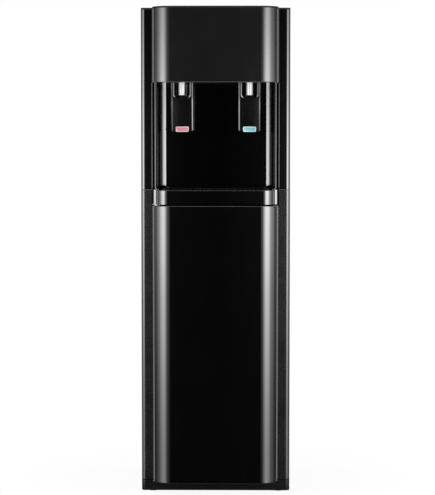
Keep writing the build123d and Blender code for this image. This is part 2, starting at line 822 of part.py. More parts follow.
def valve_stem(x):
    """Stem with the seal disc that closes the spout and the head that the paddle's fork lifts."""
    seat = valve_bottom + valve_wall
    stem = upright(x, tap_y, (seat, fork_top + fit_gap + stem_head_height), stem_radius)
    disc = upright(x, tap_y, (seat, seat + seal_thickness), spout_bore + seal_overlap)
    head = upright(x, tap_y, (fork_top + fit_gap, fork_top + fit_gap + stem_head_height), stem_head_radius)
    return stem + disc + head


def paddle_profile():
    """Side view of a paddle's plate as (Y, Z) points of its front line."""
    top = (pivot_y, pivot_z)
    hood = (tap_y - paddle_top_lead, hood_bottom - paddle_knee_drop)
    middle = (tap_y + paddle_mid_lag, hood_bottom - paddle_window_drop - paddle_bend_drop)
    low = (tap_y + paddle_low_lag, hood_bottom - paddle_drop)
    return [top, hood, middle, low]


def paddle(x):
    """Push paddle: two arms from the pivot pass the spout and join in a plate behind it."""
    half = paddle_thickness / 2
    line = paddle_profile()
    points = [(y - half, z) for y, z in line] + [(y + half, z) for y, z in reversed(line)]
    side = make_face(Polyline(*points, close=True))
    bends = [vertex for vertex in side.vertices()
             if hood_bottom - paddle_drop + 1 < vertex.Y < pivot_z - 1]
    side = fillet(bends, paddle_bend_radius)
    plate = extrude(Plane(origin=(x - paddle_width / 2, 0, 0), x_dir=(0, 1, 0), z_dir=(1, 0, 0)) * side,
                    paddle_width)
    low = hood_bottom - paddle_drop
    face_plane = Plane(origin=(x, bow_y, 0), x_dir=(1, 0, 0), z_dir=(0, -1, 0))
    outline = face_plane * Pos(0, (low + fork_top) / 2) * Rectangle(paddle_width, fork_top - low)
    outline = fillet(outline.vertices().sort_by(Axis.Z)[:2], paddle_corner_radius)
    through = rear_y - bow_y
    plate = plate & extrude(outline, -through)
    window_low = hood_bottom - paddle_window_drop
    window_high = fork_top + 1.0
    window = Rectangle(paddle_window, window_high - window_low)
    window = face_plane * Pos(0, (window_low + window_high) / 2) * window
    window = fillet(window.vertices().sort_by(Axis.Z)[:2], paddle_window_radius)
    plate = plate - extrude(window, -through)
    edges = [edge for edge in plate.edges() if edge.center().Z < hood_bottom + paddle_round_rise
             and edge.length > 1.0 and not is_along_x(edge)]
    plate = fillet(edges, paddle_edge_radius)
    arm = (paddle_width - paddle_window) / 2
    for side_sign in (-1, 1):
        middle = x + side_sign * (paddle_window + arm) / 2
        boss_x = (middle - arm / 2, middle + arm / 2)
        plate = plate + along_x(boss_x, pivot_y, pivot_z, pivot_boss_radius)
        plate = plate + fork_arm(boss_x)
    bar_y = (tap_y - fork_bar / 2, tap_y + fork_bar / 2)
    bar = span((x - paddle_width / 2, x + paddle_width / 2), bar_y, (fork_top - fork_thickness, fork_top))
    notch_half = stem_radius + fork_notch_gap
    notch = span((x - notch_half, x + notch_half), (bar_y[0] - 1, bar_y[1] + 1),
                 (fork_top - fork_thickness - 1, fork_top + 1))
    plate = plate + bar - notch
    bore = along_x((x - paddle_width, x + paddle_width), pivot_y, pivot_z, pivot_pin_radius + running_fit)
    return plate - bore


def is_along_x(edge):
    direction = edge.tangent_at(0.5)
    return abs(direction.X) > 0.99 and edge.center().Z > hood_bottom - paddle_window_drop + paddle_bend_drop


def fork_arm(boss_x):
    """Link from a pivot boss up to the bar that lifts the valve stem."""
    half = fork_bar / 2
    points = [(pivot_y - half, pivot_z), (tap_y - half, fork_top), (tap_y + half, fork_top),
              (tap_y + half, fork_top - fork_thickness), (pivot_y + half + fork_root, pivot_z)]
    face = make_face(Polyline(*points, close=True))
    plane = Plane(origin=(boss_x[0], 0, 0), x_dir=(0, 1, 0), z_dir=(1, 0, 0))
    return extrude(plane * face, boss_x[1] - boss_x[0])


def paddle_face_y(z):
    """Y of the paddle's front face at a height below the window."""
    (y_top, z_top), (y_low, z_low) = paddle_profile()[2:]
    share = (z_top - z) / (z_top - z_low)
    return y_top + share * (y_low - y_top) - paddle_thickness / 2


def paddle_label(x):
    """Coloured chip let onto the paddle's lower end."""
    low = hood_bottom - paddle_drop + label_margin
    points = [(paddle_face_y(low), low), (paddle_face_y(low + label_height), low + label_height),
              (paddle_face_y(low + label_height) - label_thickness, low + label_height),
              (paddle_face_y(low) - label_thickness, low)]
    face = make_face(Polyline(*points, close=True))
    plane = Plane(origin=(x - label_width / 2, 0, 0), x_dir=(0, 1, 0), z_dir=(1, 0, 0))
    return extrude(plane * face, label_width)


def pivot_pins():
    reach = paddle_width / 2 + arm_gap + pivot_ear
    return group(along_x((x - reach, x + reach), pivot_y, pivot_z, pivot_pin_radius)
                 for x in tap_places.values())


def paddle_springs():
    """Torsion springs on the pivot pins, each drawn as its closed outer sleeve."""
    springs = []
    for x in tap_places.values():
        inner_radius = pivot_pin_radius + running_fit
        reach = (x - spring_length / 2, x + spring_length / 2)
        sleeve = along_x(reach, pivot_y, pivot_z, inner_radius + spring_wall)
        springs.append(sleeve - along_x(reach, pivot_y, pivot_z, inner_radius))
    return group(springs)


# ---------------------------------------------------------------- bottle probe
def probe_collar():
    """Cap that pushes over a bottle's neck, open below."""
    collar = upright(probe_x, probe_y, (collar_top - probe_collar_height, collar_top), probe_collar_radius)
    collar = fillet(collar.edges().sort_by(Axis.Z)[-1], probe_collar_round)
    hollow = upright(probe_x, probe_y,
                     (collar_top - probe_collar_height - 1, collar_top - probe_collar_wall * 2),
                     probe_collar_radius - probe_collar_wall)
    return collar - hollow - upright(probe_x, probe_y, (0, lid_top), probe_tube_radius)


def probe_tube():
    z = (collar_top - probe_tube_length, collar_top + probe_tube_stub)
    tube = upright(probe_x, probe_y, z, probe_tube_radius)
    return tube - upright(probe_x, probe_y, (z[0] - 1, z[1] + 1), probe_tube_bore)


def probe_hook():
    """Hanger under the deck: two straps and the ring that the probe's collar rests in."""
    reach = probe_collar_radius + hook_thickness + fit_gap
    ring_z = (collar_top - probe_collar_height - hook_thickness, collar_top - probe_collar_height)
    ring = upright(probe_x, probe_y, ring_z, reach)
    ring = ring - upright(probe_x, probe_y, (ring_z[0] - 1, ring_z[1] + 1),
                          probe_collar_radius - hook_ledge)
    for side in (-1, 1):
        x = sorted((probe_x + side * (probe_collar_radius + fit_gap), probe_x + side * reach))
        strap_y = (probe_y - hook_width / 2, probe_y + hook_width / 2)
        ring = ring + span(x, strap_y, (ring_z[0], deck_bottom))
    return ring


# ---------------------------------------------------------------- machine compartment
def tank_shelf():
    """Upper shelf that carries both tanks, pierced for the lines that pass it."""
    x = (-half_width + sheet, half_width - sheet)
    shelf = span(x, (liner_rear_y, rear_inner_y - sheet), (shelf_top - deck_sheet, shelf_top))
    through = (shelf_top - deck_sheet - 1, shelf_top + 1)
    gap_x = (compressor_x + compressor_radius + cold_x - foam_radius) / 2
    for hole_x, hole_y in ((condenser_ends()[1], pipe_back_y), (gap_x, room_mid_y)):
        shelf = shelf - upright(hole_x, hole_y, through, pipe_radius + 2.0)
    notch_x = (pump_x - hose_radius - 2, pump_x + hose_radius + 2)
    return shelf - span(notch_x, (liner_rear_y - 1, riser_y() + 7.0), through)


def riser_y():
    return liner_rear_y + hose_radius + riser_gap


def compressor_body(inset):
    """Domed drum of the compressor, or the hollow inside it."""
    low = deck_top + grommet_height + compressor_plate
    drum = upright(compressor_x, room_mid_y, (low + inset, low + compressor_height - inset),
                   compressor_radius - inset)
    return fillet(drum.edges().sort_by(Axis.Z)[-1], compressor_dome - inset)


def compressor():
    base = deck_top + grommet_height
    plate_half = compressor_radius
    plate = span((compressor_x - plate_half, compressor_x + plate_half),
                 (room_mid_y - plate_half, room_mid_y + plate_half), (base, base + compressor_plate))
    side_x = compressor_x + compressor_radius
    box = span((side_x - terminal_root, side_x + terminal_depth),
               (room_mid_y - terminal_box / 2, room_mid_y + terminal_box / 2),
               (base + terminal_rise, base + terminal_rise + terminal_box))
    return compressor_body(0.0) + plate + box - compressor_body(compressor_shell)


def compressor_grommets():
    offset = compressor_radius - grommet_radius
    return group(upright(compressor_x + sx * offset, room_mid_y + sy * offset,
                         (deck_top, deck_top + grommet_height), grommet_radius)
                 for sx in (-1, 1) for sy in (-1, 1))


def tank(x, radius, height, lift):
    outer = upright(x, room_mid_y, (shelf_top + lift, shelf_top + lift + height), radius)
    outer = fillet(outer.edges(), tank_edge_radius)
    hollow = upright(x, room_mid_y, (shelf_top + lift + tank_wall, shelf_top + lift + height - tank_wall),
                     radius - tank_wall)
    return outer - fillet(hollow.edges(), tank_edge_radius - tank_wall)


def cold_tank():
    return tank(cold_x, cold_tank_radius, cold_tank_height, foam_thickness)


def evaporator_coil():
    """Flattened tube wound tightly round the cold tank, drawn as its closed outer sleeve."""
    low = shelf_top + foam_thickness + (cold_tank_height - coil_height) / 2
    sleeve = upright(cold_x, room_mid_y, (low, low + coil_height), cold_tank_radius + coil_thickness)
    return sleeve - upright(cold_x, room_mid_y, (low - 1, low + coil_height + 1), cold_tank_radius)


def foam_jacket():
    """Insulation round the cold tank, with room inside for the coil."""
    height = cold_tank_height + 2 * foam_thickness
    outer = upright(cold_x, room_mid_y, (shelf_top, shelf_top + height), foam_radius)
    room = cold_tank_radius + coil_thickness
    low = shelf_top + foam_thickness
    return outer - upright(cold_x, room_mid_y, (low, low + cold_tank_height), room)


def hot_tank():
    return tank(hot_x, hot_tank_radius, hot_tank_height, jacket_thickness)


def heater_band():
    low = shelf_top + jacket_thickness + heater_rise
    band = upright(hot_x, room_mid_y, (low, low + heater_height), hot_tank_radius + heater_thickness)
    return band - upright(hot_x, room_mid_y, (low, low + heater_height), hot_tank_radius)


def tank_insulation():
    return group([foam_jacket(), hot_jacket()])


def hot_jacket():
    """Insulation round the hot tank and its heater band."""
    height = hot_tank_height + 2 * jacket_thickness
    outer = upright(hot_x, room_mid_y, (shelf_top, shelf_top + height), hot_tank_radius + jacket_thickness)
    return outer - upright(hot_x, room_mid_y,
                           (shelf_top + jacket_thickness, shelf_top + jacket_thickness + hot_tank_height),
                           hot_tank_radius + heater_thickness)


def pump():
    """Water pump with its motor above and two hose stubs."""
    low = deck_top + pump_rise
    motor = upright(pump_x, pump_y, (low, low + pump_height), pump_radius)
    foot_y = (pump_y - pump_foot / 2, pump_y + pump_foot / 2)
    foot = span((pump_x - pump_radius, pump_x + pump_radius), foot_y,
                (deck_top, deck_top + pump_foot_sheet))
    legs = [span(sorted((pump_x + side * (pump_radius - pump_leg), pump_x + side * pump_radius)),
                 foot_y, (deck_top, low + pump_leg_grip)) for side in (-1, 1)]
    stub = upright(pump_x, pump_y, (deck_top + pump_stub_rise, low + 1), hose_radius + pump_stub_wall)
    foot = foot - upright(pump_x, pump_y, (deck_top - 1, deck_top + pump_foot_sheet + 1),
                          hose_radius + pump_foot_gap)
    return motor + foot + legs[0] + legs[1] + stub


def water_hoses():
    """Lines from the probe to the pump, up to the cold tank and on to both taps."""
    under_deck = deck_bottom - hose_radius - hose_deck_gap
    suction = [(probe_x, probe_y, collar_top + probe_tube_stub), (probe_x, probe_y, under_deck),
               (pump_x, pump_y, under_deck), (pump_x, pump_y, deck_top + pump_stub_rise)]
    pump_top = deck_top + pump_rise + pump_height
    riser = [(pump_x, pump_y, pump_top), (pump_x, pump_y, pump_top + riser_straight),
             (pump_x, riser_y(), pump_top + 2 * riser_straight),
             (pump_x, riser_y(), shelf_top + riser_lift),
             (pump_x, room_mid_y, shelf_top + riser_lift)]
    foam = upright(cold_x, room_mid_y, (shelf_top, lid_bottom), foam_radius)
    jacket = upright(hot_x, room_mid_y, (shelf_top, lid_bottom), hot_tank_radius + jacket_thickness)
    nozzle_end = tap_y + valve_radius + nozzle_length
    tap_line_z = nozzle_z
    lines = [pipe(suction, hose_radius, hose_bend), pipe(riser, hose_radius, hose_bend) - foam]
    for x in tap_places.values():
        lines.append(along_y(x, (nozzle_end, room_mid_y), tap_line_z, hose_radius) - foam - jacket)
    return group(lines)


def condenser_entry_z():
    return deck_top + condenser_entry_rise


def condenser_ends():
    reach = half_width - condenser_edge
    return (-reach - condenser_end_reach, reach + condenser_end_reach)


def condenser_run_z(run):
    return condenser_low + run * condenser_pitch


def condenser():
    """Wire-on-tube condenser: one tube in long passes, and the wires welded behind it."""
    reach = half_width - condenser_edge
    low_x, high_x = condenser_ends()
    runs = 2 * condenser_loops + 1
    entry = condenser_entry_z()
    points = [(low_x, pipe_end_y, entry), (low_x, condenser_y, entry), (low_x, condenser_y, condenser_low)]
    for run in range(runs):
        start, end = (-reach, reach) if run % 2 == 0 else (reach, -reach)
        if run > 0:
            points.append((start, condenser_y, condenser_run_z(run)))
        if run == runs - 1:
            end = high_x
        points.append((end, condenser_y, condenser_run_z(run)))
    points += [(high_x, condenser_y, entry), (high_x, pipe_end_y, entry)]
    solids = [pipe(points, condenser_tube_radius, condenser_pitch / 2 - 1.0)]
    wire_y = condenser_y + condenser_tube_radius + condenser_wire_radius
    wire_z = (condenser_low - wire_overhang, condenser_run_z(runs - 1) + wire_overhang)
    spread = 2 * (reach - condenser_pitch)
    for index in range(condenser_wires):
        x = -spread / 2 + index * spread / (condenser_wires - 1)
        solids.append(Pos(0, wire_y, 0) * upright(x, 0, wire_z, condenser_wire_radius))
    return group(solids)


def condenser_brackets():
    """Spacers that hold the condenser off the rear panel and the cooler off a wall."""
    outer = half_width - bracket_side_gap
    inner = outer - bracket_width
    reach = half_width - condenser_edge
    brackets = []
    for side in (-1, 1):
        for run in (1, 2 * condenser_loops - 1):
            middle = condenser_run_z(run)
            z = (middle - bracket_height / 2, middle + bracket_height / 2)
            post = span(sorted((side * inner, side * outer)), (rear_y, wall_y), z)
            arm = span(sorted((side * (reach - condenser_pitch - bracket_grip), side * inner)),
                       (rear_y, condenser_y - condenser_tube_radius), z)
            brackets.append(post + arm)
    return group(brackets)


def refrigerant_pipes():
    """Discharge, capillary and suction lines between compressor, condenser and coil."""
    low_x, high_x = condenser_ends()
    entry = condenser_entry_z()
    side_x = compressor_x - compressor_radius * 0.6
    discharge_z = entry + discharge_rise
    suction_z = entry + suction_rise
    discharge = [(low_x, pipe_end_y, entry), (low_x, pipe_back_y, entry), (low_x, pipe_back_y, discharge_z),
                 (side_x, room_mid_y + compressor_radius * 0.6, discharge_z)]
    drier_low = entry + drier_rise
    feed = [(high_x, pipe_end_y, entry), (high_x, pipe_back_y, entry), (high_x, pipe_back_y, drier_low)]
    capillary = [(high_x, pipe_back_y, drier_low + drier_length),
                 (high_x, pipe_back_y, shelf_top + capillary_lift),
                 (cold_x, room_mid_y, shelf_top + capillary_lift)]
    gap_x = (compressor_x + compressor_radius + cold_x - foam_radius) / 2
    suction = [(cold_x, room_mid_y, shelf_top + suction_lift),
               (gap_x, room_mid_y, shelf_top + suction_lift),
               (gap_x, room_mid_y, suction_z), (compressor_x, room_mid_y, suction_z)]
    foam = upright(cold_x, room_mid_y, (shelf_top, lid_bottom), foam_radius)
    drum = compressor_body(0.0) + compressor()
    return group([pipe(discharge, pipe_radius, pipe_bend) - drum,
                  pipe(feed, pipe_radius, pipe_bend),
                  pipe(capillary, pipe_radius, pipe_bend) - foam,
                  pipe(suction, pipe_radius, pipe_bend) - foam - drum])


def filter_drier():
    high_x = condenser_ends()[1]
    low = condenser_entry_z() + drier_rise
    body = upright(high_x, pipe_back_y, (low, low + drier_length), drier_radius)
    return fillet(body.edges(), drier_end_radius)


def control_box():
    """Housing of the electronics, screwed to the side panel."""
    outer, inner = control_room()
    return span(*outer) - span(*inner)


def control_room():
    x_high = half_width - sheet
    y_low = liner_rear_y + control_setback
    z_low = deck_top + control_rise
    outer = [(x_high - control_width, x_high), (y_low, y_low + control_depth),
             (z_low, z_low + control_height)]
    inner = [(low + bay_wall, high - bay_wall) for low, high in outer]
    return outer, inner


def control_board():
    """Circuit board with its transformer, relays and capacitor."""
    x, y, z = control_room()[1]
    face = x[1] - board_back_gap - board_thickness
    near_y = y[0] + board_margin
    board = span((face, face + board_thickness), (near_y, y[1] - board_margin), (z[0], z[1] - board_margin))
    part_y = near_y + board_margin
    part_z = z[0] + 2 * board_margin
    board = board + span((face - transformer_depth, face), (part_y, part_y + transformer_size),
                         (part_z, part_z + transformer_size))
    for row in range(3):
        relay_z = part_z + transformer_size + board_margin + row * relay_pitch
        board = board + span((face - relay_depth, face), (part_y, part_y + relay_width),
                             (relay_z, relay_z + relay_height))
    can_y = part_y + transformer_size + board_margin + capacitor_radius
    return board + along_x((face - capacitor_length, face), can_y, part_z + 2 * capacitor_radius,
                           capacitor_radius)


# ---------------------------------------------------------------- what passes through the rear panel
def switch_places():
    return {"hot": switch_x - switch_spacing / 2, "cold": switch_x + switch_spacing / 2}


def rocker_y():
    return rear_y - rocker_setback


def switch_housings():
    """Two snap-in switch bodies, each with its bezel and the pocket that its rocker tilts in."""
    housings = []
    for x in switch_places().values():
        body = span((x - switch_width / 2, x + switch_width / 2), (rear_y - switch_depth, rear_y),
                    (switch_height - switch_tall / 2, switch_height + switch_tall / 2))
        half_x = switch_width / 2 + bezel_border
        half_z = switch_tall / 2 + bezel_border
        bezel = span((x - half_x, x + half_x), (rear_y, rear_y + bezel_thickness),
                     (switch_height - half_z, switch_height + half_z))
        half_pocket = rocker_width / 2 + rocker_side_gap
        pocket_z = rocker_tall / 2 + rocker_room
        pocket = span((x - half_pocket, x + half_pocket),
                      (rocker_y() - rocker_thick / 2 - rocker_room, rear_y + bezel_thickness + 1),
                      (switch_height - pocket_z, switch_height + pocket_z))
        pivot = along_x((x - switch_width, x + switch_width), rocker_y(), switch_height,
                        rocker_pin_radius + running_fit)
        housings.append(body + bezel - pocket - pivot)
    return group(housings)


def rocker(x):
    """Rocker tilted to its off side, with its two stub axles."""
    cap = Rot(-rocker_tilt, 0, 0) * Box(rocker_width, rocker_thick, rocker_tall)
    cap = Pos(x, rocker_y(), switch_height) * cap
    half = switch_width / 2 - running_fit
    return cap + along_x((x - half, x + half), rocker_y(), switch_height, rocker_pin_radius)


def drain_spout():
    """Drain stub of the hot tank, through the rear panel."""
    y = (rear_inner_y - drain_reach, rear_y + drain_reach)
    spout = along_y(drain_x, y, drain_height, drain_tube_radius)
    spout = spout + along_y(drain_x, (rear_y, rear_y + drain_flange), drain_height, drain_flange_radius)
    return spout - along_y(drain_x, (y[0] - 1, y[1] + 1), drain_height, drain_tube_bore)


def drain_cap():
    y = (rear_y + drain_flange + fit_gap, rear_y + drain_reach + drain_cap_end)
    cap = along_y(drain_x, y, drain_height, drain_cap_radius)
    for index in range(cap_grooves):
        angle = radians(index * 360.0 / cap_grooves)
        groove_x = drain_x + drain_cap_radius * cos(angle)
        groove_z = drain_height + drain_cap_radius * sin(angle)
        cap = cap - along_y(groove_x, (y[0] + cap_groove_start, y[1] + 1), groove_z, cap_groove_radius)
    return cap - along_y(drain_x, (y[0] - 1, rear_y + drain_reach + fit_gap), drain_height,
                         drain_tube_radius + running_fit)


def gland_z():
    return deck_top + gland_rise


def cord_gland():
    """Strain relief through which a supply cord would leave."""
    y = (rear_inner_y - gland_root, rear_y + gland_reach)
    gland = along_y(gland_x, y, gland_z(), gland_radius)
    gland = gland + along_y(gland_x, (rear_y, rear_y + gland_flange), gland_z(), gland_flange_radius)
    return gland - along_y(gland_x, (y[0] - 1, y[1] + 1), gland_z(), gland_bore)


# ---------------------------------------------------------------- every part by name
def all_parts():
    parts = {
        "base_pan": base_pan(), "rubber_feet": rubber_feet(), "top_cover": top_cover(),
        "rear_panel": rear_panel(), "rear_screws": rear_screws(), "door_sill": door_sill(),
        "tray_housing": tray_housing(), "mid_deck": mid_deck(), "bay_back": bay_back(),
        "bay_floor": bay_floor(), "alcove_liner": alcove_liner(), "hood_shell": hood_shell(),
        "hood_base": hood_base(), "hinge_brackets": hinge_brackets(), "hinge_pins": hinge_pins(),
        "door_shell": door_shell(), "door_liner": door_liner(), "door_bushes": door_bushes(),
        "strike_plate": strike_plate(), "door_magnet": door_magnet(), "drip_tray": drip_tray(),
        "drip_grille": drip_grille(), "pivot_pins": pivot_pins(), "paddle_springs": paddle_springs(),
        "probe_collar": probe_collar(), "probe_tube": probe_tube(), "probe_hook": probe_hook(),
        "tank_shelf": tank_shelf(), "compressor": compressor(),
        "compressor_grommets": compressor_grommets(),
        "cold_tank": cold_tank(), "evaporator_coil": evaporator_coil(), "hot_tank": hot_tank(),
        "heater_band": heater_band(), "tank_insulation": tank_insulation(), "taps": taps(),
        "pump": pump(), "water_hoses": water_hoses(), "condenser": condenser(),
        "condenser_brackets": condenser_brackets(), "refrigerant_pipes": refrigerant_pipes(),
        "filter_drier": filter_drier(), "control_box": control_box(), "control_board": control_board(),
        "switch_housings": switch_housings(), "drain_spout": drain_spout(), "drain_cap": drain_cap(),
        "cord_gland": cord_gland(), "side_panels": side_panels(), "lower_strips": lower_strips(),
        "upper_strips": upper_strips(), "bay_sides": bay_sides(),
    }
    for name, x in tap_places.items():
        parts[name + "_stem"] = valve_stem(x)
        parts[name + "_paddle"] = paddle(x)
        parts[name + "_label"] = paddle_label(x)
    for name, x in switch_places().items():
        parts[name + "_switch"] = rocker(x)
    return parts


os.makedirs("parts", exist_ok=True)
for part_name, shape in all_parts().items():
    export_step(shape, f"parts/{part_name}.step")
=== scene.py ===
import bpy
import bmesh
from math import cos, pi, radians, sin
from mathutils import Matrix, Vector


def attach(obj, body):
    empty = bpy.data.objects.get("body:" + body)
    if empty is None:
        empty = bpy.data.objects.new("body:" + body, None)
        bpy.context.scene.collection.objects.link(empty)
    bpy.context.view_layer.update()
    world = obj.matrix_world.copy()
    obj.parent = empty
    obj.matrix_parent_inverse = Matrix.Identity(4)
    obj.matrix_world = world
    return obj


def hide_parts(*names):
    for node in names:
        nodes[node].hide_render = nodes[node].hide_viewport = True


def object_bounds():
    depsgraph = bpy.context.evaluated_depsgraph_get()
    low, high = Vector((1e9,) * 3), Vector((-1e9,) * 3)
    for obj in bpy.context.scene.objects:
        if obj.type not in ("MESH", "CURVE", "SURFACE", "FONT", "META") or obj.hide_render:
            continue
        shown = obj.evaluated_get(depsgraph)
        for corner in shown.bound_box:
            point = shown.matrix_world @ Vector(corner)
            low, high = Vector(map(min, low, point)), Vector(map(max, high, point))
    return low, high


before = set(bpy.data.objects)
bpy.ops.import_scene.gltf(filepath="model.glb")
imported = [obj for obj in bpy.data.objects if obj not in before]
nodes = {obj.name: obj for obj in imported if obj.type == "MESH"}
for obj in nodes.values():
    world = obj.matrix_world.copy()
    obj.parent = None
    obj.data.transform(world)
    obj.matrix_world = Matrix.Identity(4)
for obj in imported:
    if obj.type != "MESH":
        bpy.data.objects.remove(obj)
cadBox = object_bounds()
print("frame loaded")


# small tools for shader trees

def emptyTree(owner):
    owner.use_nodes = True
    owner.node_tree.nodes.clear()
    return owner.node_tree


def newTree(name):
    material = bpy.data.materials.new(name)
    tree = emptyTree(material)
    output = tree.nodes.new("ShaderNodeOutputMaterial")
    shader = tree.nodes.new("ShaderNodeBsdfPrincipled")
    tree.links.new(shader.outputs[0], output.inputs[0])
    return material, tree, shader


def addNode(tree, kind, links=None, **settings):
    node = tree.nodes.new("ShaderNode" + kind)
    for name, value in settings.items():
        setattr(node, name, value)
    for socket, value in (links or {}).items():
        if isinstance(value, bpy.types.NodeSocket):
            tree.links.new(value, node.inputs[socket])
        else:
            node.inputs[socket].default_value = value
    return node


def placeOf(tree, stretch=(1, 1, 1)):
    coords = addNode(tree, "TexCoord")
    return addNode(tree, "Mapping", {"Vector": coords.outputs["Object"], "Scale": stretch}).outputs[0]


def noise(tree, place, scale, detail=3.0, roughness=0.5):
    return addNode(tree, "TexNoise", {"Vector": place, "Scale": scale, "Detail": detail,
                                      "Roughness": roughness}).outputs["Fac"]


def spread(tree, value, low, high, fromLow=0.3, fromHigh=0.7):
    return addNode(tree, "MapRange", {"Value": value, "From Min": fromLow, "From Max": fromHigh,
                                      "To Min": low, "To Max": high}).outputs[0]


def mixColours(tree, factor, first, second):
    return addNode(tree, "Mix", {0: factor, 6: (*first, 1.0), 7: (*second, 1.0)}, data_type="RGBA").outputs[2]


def bumps(tree, shader, layers):
    normal = None
    for height, strength, distance in layers:
        links = {"Height": height, "Strength": strength, "Distance": distance}
        if normal is not None:
            links["Normal"] = normal
        normal = addNode(tree, "Bump", links).outputs[0]
    tree.links.new(normal, shader.inputs["Normal"])


# one entry for each finish: the two tones it wanders between, its range of roughness, the scale and
# strength of its peel and grain, and the weight and roughness of its clear coat
finishes = {
    "gloss_black": dict(tones=((0.0012, 0.0012, 0.0013), (0.0018, 0.0018, 0.0019)), mottle=7,
                        gloss=(0.07, 0.11), peel=(160, 0.03), grain=(2600, 0.02), coat=(1.0, 0.04)),
    "hood_black": dict(tones=((0.0036, 0.0036, 0.0038), (0.0048, 0.0048, 0.0050)), mottle=9,
                       gloss=(0.17, 0.21), peel=(220, 0.04), grain=(2800, 0.04), coat=(0.9, 0.13)),
    "alcove_gloss": dict(tones=((0.0010, 0.0010, 0.0011), (0.0015, 0.0015, 0.0016)), mottle=7,
                         gloss=(0.06, 0.09), peel=(160, 0.02), grain=(2600, 0.02), coat=(0.85, 0.03)),
    "trim_gloss": dict(tones=((0.0012, 0.0012, 0.0013), (0.0018, 0.0018, 0.0019)), mottle=9,
                       gloss=(0.04, 0.06), peel=(240, 0.02), grain=(2800, 0.01), coat=(0.85, 0.02)),
    "lid_satin": dict(tones=((0.0050, 0.0050, 0.0052), (0.0070, 0.0070, 0.0072)), mottle=9,
                      gloss=(0.46, 0.54), peel=(420, 0.06), grain=(3000, 0.12), shine=0.15),
    "plinth_satin": dict(tones=((0.0012, 0.0012, 0.0013), (0.0020, 0.0020, 0.0021)), mottle=9,
                         gloss=(0.24, 0.30), peel=(300, 0.05), grain=(2800, 0.08)),
    "tray_dull": dict(tones=((0.0016, 0.0016, 0.0017), (0.0026, 0.0026, 0.0027)), mottle=16,
                      gloss=(0.55, 0.65), peel=(420, 0.05), grain=(3000, 0.16), shine=0.08),
    "trim_satin": dict(tones=((0.0040, 0.0040, 0.0042), (0.0056, 0.0056, 0.0058)), mottle=9,
                       gloss=(0.24, 0.30), peel=(240, 0.05), grain=(2800, 0.05), coat=(0.7, 0.10)),
    "satin_black": dict(tones=((0.0030, 0.0030, 0.0032), (0.0044, 0.0044, 0.0046)), mottle=11,
                        gloss=(0.34, 0.42), peel=(420, 0.08), grain=(3000, 0.16)),
    "cabinet_steel": dict(tones=((0.0080, 0.0080, 0.0083), (0.0110, 0.0110, 0.0113)), mottle=6,
                          gloss=(0.34, 0.44), peel=(900, 0.16), grain=(3400, 0.10), shine=0.22),
    "black_enamel": dict(tones=((0.0100, 0.0100, 0.0105), (0.0150, 0.0150, 0.0155)), mottle=14,
                         gloss=(0.22, 0.32), peel=(500, 0.08), grain=(2400, 0.05), coat=(0.5, 0.12)),
    "white_plastic": dict(tones=((0.82, 0.82, 0.81), (0.85, 0.85, 0.84)), mottle=30, gloss=(0.20, 0.26),
                          peel=(300, 0.03), grain=(2600, 0.04), coat=(0.8, 0.10)),
    "paddle_grey": dict(tones=((0.0024, 0.0024, 0.0026), (0.0034, 0.0034, 0.0036)), mottle=24,
                        gloss=(0.14, 0.19), peel=(260, 0.05), grain=(2800, 0.08), coat=(0.8, 0.10)),
    "red_chip": dict(tones=((0.80, 0.28, 0.35), (0.83, 0.31, 0.38)), mottle=60, gloss=(0.20, 0.28),
                     peel=(500, 0.03), grain=(2600, 0.04), coat=(0.4, 0.1)),
    "blue_chip": dict(tones=((0.24, 0.64, 0.70), (0.28, 0.68, 0.74)), mottle=60, gloss=(0.20, 0.28),
                      peel=(500, 0.03), grain=(2600, 0.04), coat=(0.4, 0.1)),
    "bay_grey": dict(tones=((0.28, 0.29, 0.30), (0.32, 0.33, 0.34)), mottle=8, gloss=(0.48, 0.58),
                     peel=(500, 0.10), grain=(2600, 0.20)),
    "nylon": dict(tones=((0.78, 0.78, 0.75), (0.84, 0.84, 0.81)), mottle=22, gloss=(0.36, 0.46),
                  peel=(400, 0.06), grain=(2600, 0.10)),
    "rubber": dict(tones=((0.022, 0.022, 0.022), (0.034, 0.034, 0.033)), mottle=40, gloss=(0.70, 0.82),
                   peel=(700, 0.14), grain=(3200, 0.30)),
    "foam": dict(tones=((0.74, 0.72, 0.64), (0.84, 0.82, 0.75)), mottle=30, gloss=(0.80, 0.90),
                 peel=(240, 0.50), grain=(1400, 0.50)),
    "silicone": dict(tones=((0.62, 0.65, 0.66), (0.72, 0.75, 0.76)), mottle=26, gloss=(0.26, 0.36),
                     peel=(300, 0.05), grain=(2200, 0.05)),
    "magnet_dark": dict(tones=((0.030, 0.030, 0.033), (0.055, 0.055, 0.060)), mottle=120,
                        gloss=(0.55, 0.68), peel=(900, 0.20), grain=(3600, 0.30)),
}


surface = dict(ior=1.5, shine=0.5, smudge=2.3, smudgeDetail=5.0, smudgeRoughness=0.6, peelDetail=1.0,
               peelDepth=0.0004, grainDetail=2.0, grainDepth=0.0001)


